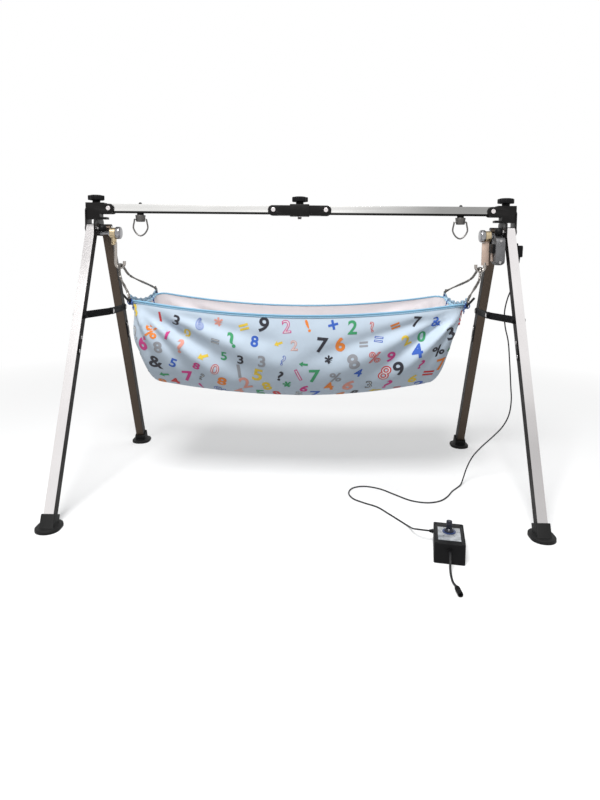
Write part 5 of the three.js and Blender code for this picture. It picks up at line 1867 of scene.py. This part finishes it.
@dataclass
class Heads:
    """The brackets over the ends of the beam, with their knobs, screws, pins and axles."""

    hardware: Hardware
    rivet_x: float = 0.548
    knob_x: float = 0.5875
    ball: Point = (0.561, -0.030, 0.739)
    ball_radius: float = 0.0115
    pin_y: float = 0.014
    pin_z: float = 0.740
    pin_radius: float = 0.004
    front_pin: tuple[float, float] = (0.5769, 0.6138)
    back_pin: tuple[float, float] = (0.5492, 0.5811)
    pin_head: tuple[float, float] = (0.007, 0.0031)
    axle: Point = (0.5138, -0.008, 0.727)
    nut_x: float = 0.5452
    nut_radius: float = 0.0093
    nut_height: float = 0.0052
    nut_rim: float = 0.0006

    def make(self, beams: Beams) -> None:
        """Makes both heads; the beams lend their rivets."""
        finishes, hardware = self.hardware.finishes, self.hardware
        for name, side in SIDES:
            hardware.finish_node(f"{name}_head", "black_metal", finishes.black_paint, 0.0011)
            beams.make_rivet(f"{name}_head_rivet", f"{name}_frame", side * self.rivet_x)
            hardware.hand_knob(f"{name}_hand_knob", f"{name}_head_knob", side * self.knob_x)
            self.make_ball(name, side)
            self.make_pins(name, side)
            self.make_axle(name, side)

    def make_ball(self, name: str, side: int) -> None:
        """The ball knob that locks the legs, with its screw and ferrule."""
        x, y, z = self.ball
        finishes, knob = self.hardware.finishes, f"{name}_lock_knob"
        ball = [(self.ball_radius * math.sin(t), -self.ball_radius * math.cos(t))
                for t in angles(18, span=math.pi)[1:]]
        piece = Workpiece(f"{name}_ball_knob")
        piece.put(Shape.turned([(0, -self.ball_radius), *ball, (0, self.ball_radius)], 36),
                  at(side * x, y, z))
        piece.set_down(knob, "black_plastic", finishes.black_plastic, (knob,))
        screw = Workpiece(f"{name}_lock_screw")
        screw.put(Profile.LOCK_SCREW.turned(), Axis.X.place((side * x, y, z), side))
        screw.set_down(knob, "chrome", finishes.chrome)

    def make_pins(self, name: str, side: int) -> None:
        """The two pins that the legs turn on, with domed heads."""
        for end, y, span in (("front", -self.pin_y, self.front_pin),
                             ("back", self.pin_y, self.back_pin)):
            node = f"{name}_{end}_leg_pin"
            piece = Workpiece(f"{node}_bolt")
            low = min(side * x for x in span)
            piece.put(Shape.rod(self.pin_radius, span[1] - span[0]),
                      Axis.X.place((low, y, self.pin_z)))
            for x, way in zip(span, (-side, side)):
                place = (side * x, y, self.pin_z)
                self.hardware.rivet(piece, Axis.X, place, way, *self.pin_head)
            piece.set_down(f"{name}_frame", "chrome", self.hardware.finishes.chrome, (node,))

    def make_axle(self, name: str, side: int) -> None:
        """The axle with its turned chrome cap and its nut."""
        x, y, z = self.axle
        place = Axis.X.place((side * x, y, z), side)
        piece = Workpiece(f"{name}_axle_cap").put(Profile.AXLE_CAP.turned(), place)
        outline = [(self.nut_radius * math.cos(t), self.nut_radius * math.sin(t))
                   for t in angles(6)]
        nut = Shape.plate(outline, self.nut_height, self.nut_rim, 2)
        piece.put(nut, place @ at(0, 0, self.nut_x - x))
        # The cap takes the darker chrome with painted dark reflections.
        piece.set_down(f"{name}_frame", "chrome", self.hardware.finishes.cap_steel,
                       (f"{name}_axle",))


@dataclass
class Legs:
    """The four legs with their feet and stops, and the folding stays between them."""

    hardware: Hardware
    front_x: float = 0.596
    back_x: float = 0.562
    pivot_y: float = 0.014
    pivot_z: float = 0.740
    half: float = 0.0127
    stop_down: float = 0.345
    stop_off: float = 0.00135
    stud_off: float = 0.0025
    stud_apart: float = 0.019
    stud_radius: float = 0.0048
    stud_height: float = 0.0022
    stay_z: float = 0.5
    stay_y: float = 0.1217
    stay_off: float = 0.0031
    stay_head: tuple[float, float] = (0.0062, 0.0008)

    def make(self) -> None:
        """Makes the legs, feet, stops and stays."""
        finishes, hardware = self.hardware.finishes, self.hardware
        for name, side in SIDES:
            # Each front leg takes its own copy of the steel with painted shade.
            front_steel = finishes.right_leg_steel if side > 0 else finishes.front_leg_steel
            for end, depth, steel in (("front", -1, front_steel),
                                      ("back", 1, finishes.back_leg_steel)):
                leg, foot = f"{name}_{end}_leg", f"{name}_{end}_foot"
                # The faces that look towards the middle take the painted inner-face shade.
                hardware.finish_node(leg, "steel", steel, 0.0021, 3,
                                     ((-side, 0, 0), finishes.side_steel), crease=10.0)
                hardware.finish_node(foot, "rubber", finishes.rubber, 0.0022, 3)
                self.make_stop(leg, side, depth)
            self.make_stays(name, side)

    def at_leg(self, side: int, depth: int, down: float) -> Matrix:
        """The place of a point down a leg: local -Z runs down the leg."""
        x = side * (self.front_x if depth < 0 else self.back_x)
        turn = Matrix.Rotation(depth * LEG_LEAN, 4, "X")
        return at(x, depth * self.pivot_y, self.pivot_z) @ turn @ at(0, 0, -down)

    def make_stop(self, leg: str, side: int, depth: int) -> None:
        """The stop on a leg's inner face: a small black plate with a rivet at each end."""
        place = self.at_leg(side, depth, self.stop_down)
        plate = Workpiece(f"{leg}_stop")
        plate.put(Block.LEG_STOP.cut(), place @ at(-side * (self.half + self.stop_off), 0, 0))
        plate.set_down(leg, "black_metal", self.hardware.finishes.black_paint)
        studs = Workpiece(f"{leg}_stop_rivets")
        for drop in (-self.stud_apart, self.stud_apart):
            foot = Axis.X.place((-side * (self.half + self.stud_off), 0, drop), -side)
            studs.put(Shape.dome(self.stud_radius, self.stud_height, 20), place @ foot)
        studs.set_down(leg, "chrome", self.hardware.finishes.chrome)

    def make_stays(self, name: str, side: int) -> None:
        """The two links of a stay with bright rivets."""
        finishes, hardware = self.hardware.finishes, self.hardware
        links = {end: f"{name}_stay_{end}" for end in ("front", "back")}
        for link in links.values():
            hardware.finish_node(link, "black_metal", finishes.stay_paint, 0.0006)
        low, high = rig.box(links["back"])
        outer = side * (self.front_x + self.half + self.stay_off)
        inner = low.x if side > 0 else high.x
        for end, x, way, places in (("front", outer, side, (-self.stay_y,)),
                                    ("back", inner, -side, (self.stay_y, 0.0))):
            rivets = Workpiece(f"{links[end]}_rivets")
            for y in places:
                hardware.rivet(rivets, Axis.X, (x, y, self.stay_z), way, *self.stay_head)
            rivets.set_down(links[end], "chrome", finishes.chrome)


@dataclass
class Swing:
    """The swing arms with their hooks, the wire hangers and the spreader rods."""

    hardware: Hardware
    middle_y: float = -0.008
    axle_z: float = 0.727
    eye_start: float = 0.5281
    neck_x: float = 0.5356
    neck_z: float = 0.692
    rod_x: float = 0.5311
    rod_radius: float = 0.0046
    rod_top: float = 0.700
    bar_top: float = 0.6525
    hook_radius: float = 0.0125
    hook_z: float = 0.640
    hook_tip: float = 0.006
    apex_z: float = 0.6352
    clip_share: float = 0.94
    clip_rise: float = 0.00435
    clip_length: float = 0.012
    clip_radius: float = 0.0034
    clip_rim: float = 0.0008
    clip_off: float = 0.0005
    clip_eye: float = 0.0046
    clip_eye_drop: float = 0.0042
    clip_wire: float = 0.001
    wire_rise: float = 0.008
    wire_bends: tuple[Point, ...] = ((0.013, 0.042, 0.031), (0.004, 0.02, 0.009), (0, 0.007, 0))
    strand: float = 0.0022
    strand_off: float = 0.0018
    twist: float = 0.011
    coil_radius: float = 0.004
    coil_wire: float = 0.0011
    coil_lean: float = 0.0006
    coils: tuple[float, ...] = (-0.0085, -0.0050, 0.0050, 0.0085)
    spreader_radius: float = 0.003
    spreader_cap: float = 0.0016
    spreader_tip: Point = (0.009, 0.016, 0.562)
    cloth: HammockCloth = field(default_factory=HammockCloth)

    def make(self) -> None:
        """Makes both arms, hangers and rods."""
        for name, side in SIDES:
            self.make_arm(name, side)
            self.make_hanger(name, side)
            self.make_rod(name, side)

    def hook_line(self, side: int, top: float) -> list[Vector]:
        """The line of the hook, open towards the middle."""
        middle, y = self.rod_x - self.hook_radius, self.middle_y
        bend = [(side * (middle + self.hook_radius * math.cos(t)), y,
                 self.hook_z - self.hook_radius * math.sin(t))
                for t in angles(12, span=math.pi, last=True)]
        straight = [(side * self.rod_x, y, z) for z in (top, (top + self.hook_z) / 2)]
        end = (side * (self.rod_x - 2 * self.hook_radius), y, self.hook_z + self.hook_tip)
        return smooth_path([*straight, *bend, end], 3)

    def make_arm(self, name: str, side: int) -> None:
        """An arm: an eye on the axle, a turned neck or a flat bar, and the hook."""
        finishes, body, node = self.hardware.finishes, f"{name}_swing", f"{name}_swing_arm"
        driven = side > 0
        start = (side * self.eye_start, self.middle_y, self.axle_z)
        eye = Workpiece(f"{name}_arm_boss").put(Profile.ARM_EYE.turned(), Axis.X.place(start, side))
        if not driven:
            eye.put(Profile.ARM_NECK.turned(), at(side * self.neck_x, self.middle_y, self.neck_z))
        eye.set_down(body, "brass_bar", finishes.boss_brass)
        line = self.hook_line(side, self.bar_top if driven else self.rod_top)
        hook = Workpiece(f"{name}_arm_hook").put(Shape.bent(line, self.rod_radius, round_steps=4))
        hook.set_down(body, "chrome", finishes.nickel, () if driven else (node,))
        if driven:
            arm = Workpiece(f"{name}_arm").put(Block.ARM_SHOULDER.cut()).put(Block.ARM_BAR.cut())
            arm.set_down(body, "brass_bar", finishes.arm_bar, (node,))

    def strand_line(self, line: Sequence[Vector], half_turns: int) -> list[Vector]:
        """One of the two wires that are twisted round a line."""
        twisted, travelled = [], 0.0
        for i, point in enumerate(line):
            before, after = line[max(i - 1, 0)], line[min(i + 1, len(line) - 1)]
            ahead = (after - before).normalized()
            travelled += (point - before).length
            across = ahead.cross(Vector((1, 0, 0.3))).normalized()
            turn = FULL_TURN * (travelled / self.twist + half_turns / 2)
            off = across * math.cos(turn) + ahead.cross(across) * math.sin(turn)
            twisted.append(point + off * self.strand_off)
        return twisted

    def make_hanger(self, name: str, side: int) -> None:
        """The hanger: two thin wires twisted round each other, with a clip at each end."""
        finishes, body = self.hardware.finishes, f"{name}_hanger"
        apex_x, y = self.rod_x - self.hook_radius, self.middle_y
        seat = self.cloth.rod_seat(side, self.clip_share)
        end_z = seat.z + self.clip_rise
        half = [(seat.x, seat.y, end_z), (seat.x, seat.y, end_z + self.wire_rise)]
        half += [(side * (apex_x - inward), out, self.apex_z - down)
                 for inward, out, down in self.wire_bends]
        back = [(px, y + py, pz) for px, py, pz in half]
        front = [(px, y - py, pz) for px, py, pz in reversed(half)]
        line = smooth_path([*back, (side * apex_x, y, self.apex_z), *front], 26)
        wires = Workpiece(f"{name}_hanger_wires")
        for half_turns in range(2):
            strand = self.strand_line(line, half_turns)
            wires.put(Shape.bent(strand, self.strand, round_steps=2))
        wires.set_down(body, "steel", finishes.wire_steel, (body,))
        clips = Workpiece(f"{name}_hanger_clips")
        for depth in (-1, 1):
            low = Vector((seat.x, y + depth * seat.y, end_z))
            clips.put(Shape.rod(self.clip_radius, self.clip_length, self.clip_rim, 20),
                      at(low.x, low.y, low.z + self.clip_off))
            eye = [low + Vector((0, self.clip_eye * math.cos(t),
                                 self.clip_eye * math.sin(t) - self.clip_eye_drop))
                   for t in angles(24)]
            clips.put(Shape.bent(eye, self.clip_wire, closed=True, round_steps=2))
        for offset in self.coils:
            centre = Vector((side * apex_x, y + offset, self.apex_z - self.coil_lean))
            coil = [centre + Vector((self.coil_radius * math.cos(t), self.coil_lean * math.sin(t),
                                     self.coil_radius * math.sin(t))) for t in angles(20)]
            clips.put(Shape.bent(coil, self.coil_wire, closed=True, round_steps=2))
        clips.set_down(body, "steel", finishes.ring_steel)

    def make_rod(self, name: str, side: int) -> None:
        """The bowed spreader rod with its turned-up tips."""
        half = [self.cloth.rod_seat(side, share) for share in (1, self.clip_share, 0.7, 0.4, 0)]
        out, deep, top = self.spreader_tip
        tip = half[0] + Vector((side * out, deep, top - half[0].z))
        back = [Vector((p.x, self.middle_y + p.y, p.z)) for p in (tip, *half)]
        front = [Vector((p.x, self.middle_y - p.y, p.z)) for p in (tip, *half[:-1])]
        line = smooth_path([*back, *reversed(front)], 12)
        rod = Workpiece(f"{name}_spreader_rod")
        rod.put(Shape.bent(line, self.spreader_radius, round_steps=4))
        for end, before in ((line[0], line[3]), (line[-1], line[-4])):
            cap = Shape.dome(self.spreader_radius, self.spreader_cap, 24)
            rod.put(cap, aimed(end, 2 * end - before))
        rod.set_down(f"{name}_hanger", "black_metal", self.hardware.finishes.rod_paint,
                     (f"{name}_spreader",))


@dataclass
class Drive:
    """The swing drive on the right head: cast housing, coil with its pole, jack and plug."""

    hardware: Hardware
    inner: float = 0.5517
    outer: float = 0.5767
    front: float = -0.044
    arc_wire: float = 0.0009
    proud: float = 0.0003
    arc_stretch: float = 1.6
    low_arcs: float = 0.672
    between_arcs: float = 0.684
    front_reaches: tuple[float, ...] = (0.0045, 0.0075, 0.0105)
    side_arcs: Corner = (-0.0228, 0.668)
    side_reaches: tuple[float, ...] = (0.012, 0.016)
    bolt_heights: tuple[float, ...] = (0.7135, 0.6535)
    bolt_head: tuple[float, float] = (0.0042, 0.002)
    windings: int = 9
    winding_low: float = 0.6806
    winding_pitch: float = 0.0029
    winding_corners: tuple[Corner, ...] = (
        (0.5443, -0.0340), (0.5443, -0.0080), (0.5512, -0.0070), (0.5512, -0.0350))
    pole_plates: int = 5
    plate_pitch: float = 0.00074
    plug_ribs: int = 4
    rib_pitch: float = 0.0032
    relief: Point = (0.6298, 0, 0.6524)
    body: str = "right_frame"

    def make(self) -> None:
        """Makes every piece of the drive."""
        finishes, hardware = self.hardware.finishes, self.hardware
        hardware.finish_node("drive_housing", "cast_metal", finishes.cast_metal, 0.0022, 3)
        self.make_arcs()
        self.make_coil()
        hardware.finish_node("jack_box", "black_plastic", finishes.black_plastic, 0.0012)
        self.make_plug()

    def make_arcs(self) -> None:
        """Raised arcs cast on the housing's front and on its inner face, and its bolts."""
        arcs = Workpiece("drive_arcs")
        middle = (self.inner + self.outer) / 2
        y, z = self.side_arcs
        lines = []
        for reach in self.front_reaches:
            line = [Vector((middle + reach * math.cos(t), self.front + self.proud,
                            self.low_arcs + self.arc_stretch * reach * math.sin(t)))
                    for t in angles(16, 1.05 * math.pi, 0.9 * math.pi, last=True)]
            lines += [line, [Vector((p.x, p.y, 2 * self.between_arcs - p.z)) for p in line]]
        for reach in self.side_reaches:
            lines.append([
                Vector((self.inner + self.proud, y + reach * math.cos(t), z + reach * math.sin(t)))
                for t in angles(18, 1.1 * math.pi, 0.8 * math.pi, last=True)])
        for line in lines:
            arcs.put(Shape.bent(line, self.arc_wire, round_steps=2))
        arcs.set_down(self.body, "cast_metal", self.hardware.finishes.cast_metal)
        bolts = Workpiece("drive_bolts")
        for height in self.bolt_heights:
            place = (middle, self.front + 0.0002, height)
            self.hardware.rivet(bolts, Axis.Y, place, -1, *self.bolt_head)
        bolts.set_down(self.body, "chrome", self.hardware.finishes.chrome)

    def make_coil(self) -> None:
        """The wound coil and the pole piece below it."""
        finishes = self.hardware.finishes
        coil = Workpiece("drive_coil_winding").put(Block.COIL.cut())
        for i in range(self.windings):
            z = self.winding_low + self.winding_pitch * i
            loop = [Vector((x, y, z)) for x, y in self.winding_corners]
            coil.put(Shape.bent(loop, self.arc_wire, closed=True, round_steps=1))
        coil.set_down(self.body, "black_plastic", finishes.black_plastic, ("drive_coil",))
        pole = Workpiece("drive_pole")
        for i in range(self.pole_plates):
            pole.put(Block.POLE_PLATE.cut(), at(self.plate_pitch * i, 0, 0))
        pole.set_down(self.body, "brass_bar", finishes.arm_bar)

    def make_plug(self) -> None:
        """The right-angle plug with a ribbed, tapered relief for its lead."""
        plug = Workpiece("lead_plug").put(Block.PLUG.cut())
        for i in range(self.plug_ribs):
            plug.put(Block.PLUG_RIB.cut(), at(0, 0, self.rib_pitch * i))
        rib = ((0.0027, 0), (0.003, 0.0012), (0.0023, 0.0016))
        profile = [(0, 0), *ribs(6, 0.0, 0.0026, rib, 0.0003), (0.0046, 0.0168), (0, 0.0168)]
        plug.put(Shape.turned(profile, 28), at(*self.relief))
        plug.set_down(self.body, "black_plastic", self.hardware.finishes.black_plastic,
                      ("drive_plug",))


@dataclass
class Controller:
    """The controller on the floor: box, lid, label, dial, its inner parts and its glands."""

    hardware: Hardware
    place_x: float = 0.3556
    place_y: float = -0.421
    turn: float = math.radians(-10.5)
    height: float = 0.045
    label_top: float = 0.0461
    dial_y: float = 0.006
    dial_foot: float = 0.0464
    first_tick: float = 240.0
    tick_turn: float = 30.0
    ticks: int = 11
    digit_reach: float = 0.0228
    digit_size: float = 0.0046
    digit_half: float = 0.00005
    digit_rise: float = 0.00008
    flutes: int = 18
    flute_steps: int = 144
    knob_radius: float = 0.0062
    flute_depth: float = 0.0003
    knob_foot: float = 0.0082
    knob_height: float = 0.0176
    cap_foot: float = 0.0258
    screw_x: float = 0.0285
    screw_y: float = 0.048
    drive_gland: tuple[Point, Point] = ((0.3204, -0.3736, 0.028), (0.3324, -0.3758, 0.028))
    supply_gland: tuple[Point, Point] = ((0.3444, -0.4821, 0.030), (0.3466, -0.4706, 0.030))
    socket_end: Point = (0.3394, -0.6012, 0.0058)
    body: str = "right_frame"

    def place(self, x: float, y: float, z: float) -> Matrix:
        """The matrix to a point in the controller's own place on the floor."""
        turn = Matrix.Rotation(self.turn, 4, "Z")
        return at(self.place_x, self.place_y, 0) @ turn @ at(x, y, z)

    def make(self) -> None:
        """Makes every piece of the controller."""
        finishes, hardware = self.hardware.finishes, self.hardware
        plastic = ("black_plastic", finishes.black_plastic)
        for node, slot, material, rim, steps in (
                ("box_base", *plastic, 0.0014, 3), ("box_lid", *plastic, 0.0005, 2),
                ("circuit_board", "board", finishes.board, 0.0003, 2),
                ("potentiometer", "chrome", finishes.chrome, 0.0004, 2)):
            hardware.finish_node(node, slot, material, rim, steps)
        self.make_label()
        self.make_dial()
        self.make_gland("drive_gland", *self.drive_gland)
        self.make_gland("supply_gland", *self.supply_gland)
        self.make_socket()
        screws = Workpiece("box_screws")
        for x in (-self.screw_x, self.screw_x):
            for y in (-self.screw_y, self.screw_y):
                screws.put(Profile.BOX_SCREW.turned(), self.place(x, y, self.height + 0.00005))
        screws.set_down(self.body, "black_metal", finishes.black_paint)

    def make_label(self) -> None:
        """The silver plate with a plain scale of ticks and numbers round the dial."""
        finishes = self.hardware.finishes
        plate = Workpiece("label_plate_finished").put(Block.LABEL_PLATE.cut(), self.place(0, 0, 0))
        plate.set_down(self.body, "silver_plate", finishes.label, ("label_plate",))
        scale = Workpiece("label_scale")
        for i in range(self.ticks):
            turn = math.radians(self.first_tick - self.tick_turn * i)
            tick = Block.SHORT_TICK if i % 2 else Block.LONG_TICK
            middle = self.place(0, self.dial_y, 0)
            scale.put(tick.cut(), middle @ Matrix.Rotation(turn, 4, "Z"))
            if i % 2 == 0:
                digit = letters(str(i // 2), self.digit_size, extrude=self.digit_half)
                x, y = self.digit_reach * math.cos(turn), self.digit_reach * math.sin(turn)
                scale.put(digit, middle @ at(x, y, self.label_top + self.digit_rise))
        scale.set_down(self.body, "silver_plate", finishes.ink)

    def make_dial(self) -> None:
        """The tall fluted knob on its skirt, over a blue collar."""
        finishes = self.hardware.finishes
        base = self.place(0, self.dial_y, self.dial_foot)
        collar = Workpiece("dial_collar").put(Profile.DIAL_COLLAR.turned(), base)
        collar.set_down("speed_dial", "dial_plastic", finishes.collar_blue, ("speed_dial",))
        outline = []
        for turn in angles(self.flute_steps):
            radius = self.knob_radius + self.flute_depth * math.cos(self.flutes * turn)
            outline.append((radius * math.cos(turn), radius * math.sin(turn)))
        knob = Workpiece("dial_knob").put(Profile.DIAL_SKIRT.turned(), base)
        knob.put(Shape.plate(outline, self.knob_height, 0.0007, 2),
                 base @ at(0, 0, self.knob_foot))
        knob.put(Profile.DIAL_CAP.turned(), base @ at(0, 0, self.cap_foot))
        knob.set_down("speed_dial", "dial_plastic", finishes.dial_plastic)
        pointer = Workpiece("dial_pointer")
        for mark in (Block.DIAL_POINTER, Block.SKIRT_MARK):
            pointer.put(mark.cut(), base)
        pointer.set_down("speed_dial", "dial_plastic", finishes.label)

    def make_gland(self, node: str, outside: Point, inside: Point) -> None:
        """A ribbed cord gland, tapered towards the lead."""
        start, end = Vector(outside), Vector(inside)
        length = (end - start).length
        rib = ((0.0034, 0), (0.0034, 0.001), (0.0028, 0.0012), (0.0028, 0.0016))
        profile = [
            (0.0027, 0), *ribs(3, 0.0005, 0.0017, rib, 0.0004), (0.0053, 0.0058),
            (0.0053, 0.0078), (0.0042, 0.008), (0.0042, length), (0.0027, length), (0.0027, 0),
        ]
        self.set_down_sleeve(node, profile, aimed(start, end))

    def make_socket(self) -> None:
        """The socket on the supply lead's end: a ribbed sleeve with a rounded mouth."""
        rib = ((0.0056, 0), (0.0056, 0.0014), (0.0051, 0.0016), (0.0051, 0.002))
        profile = [
            (0, 0.0004), (0.0032, 0.0004), (0.0036, 0.002), (0.0052, 0.0055),
            *ribs(5, 0.007, 0.0022, rib), (0.0056, 0.019), (0.0056, 0.0292), (0.0052, 0.03),
            (0.0034, 0.03), (0.0032, 0.0242), (0, 0.0242),
        ]
        place = aimed(Vector(SUPPLY_ROUTE[-1]), Vector(self.socket_end))
        self.set_down_sleeve("supply_socket", profile, place)

    def set_down_sleeve(self, node: str, profile: list[Corner], place: Matrix) -> None:
        """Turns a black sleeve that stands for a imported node."""
        piece = Workpiece(f"{node}_finished").put(Shape.turned(profile, 32), place)
        piece.set_down(self.body, "black_plastic", self.hardware.finishes.black_plastic, (node,))


def write_sizes() -> None:
    """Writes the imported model's box and the finished model's box."""
    low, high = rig.bounds()
    sizes = {
        "cad": [list(map(float, cad_low)), list(map(float, cad_high))],
        "visual": [list(map(float, low)), list(map(float, high))],
    }
    with open("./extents.json", "w", encoding="utf-8") as out:
        json.dump(sizes, out)


def main() -> None:
    """Builds the studio, the leads, and then the cradle piece by piece."""
    logging.basicConfig(level=logging.INFO, format="%(name)s: %(message)s")
    studio = Studio()
    studio.set_camera()
    finishes = Finishes()
    Leads(finishes).lay()
    studio.light()
    studio.lay_floor()
    hardware = Hardware(finishes)
    beams = Beams(hardware)
    beams.make()
    Heads(hardware).make(beams)
    Legs(hardware).make()
    Swing(hardware).make()
    Drive(hardware).make()
    Controller(hardware).make()
    Hammock(finishes).make()
    write_sizes()


if __name__ == "__main__":
    main()
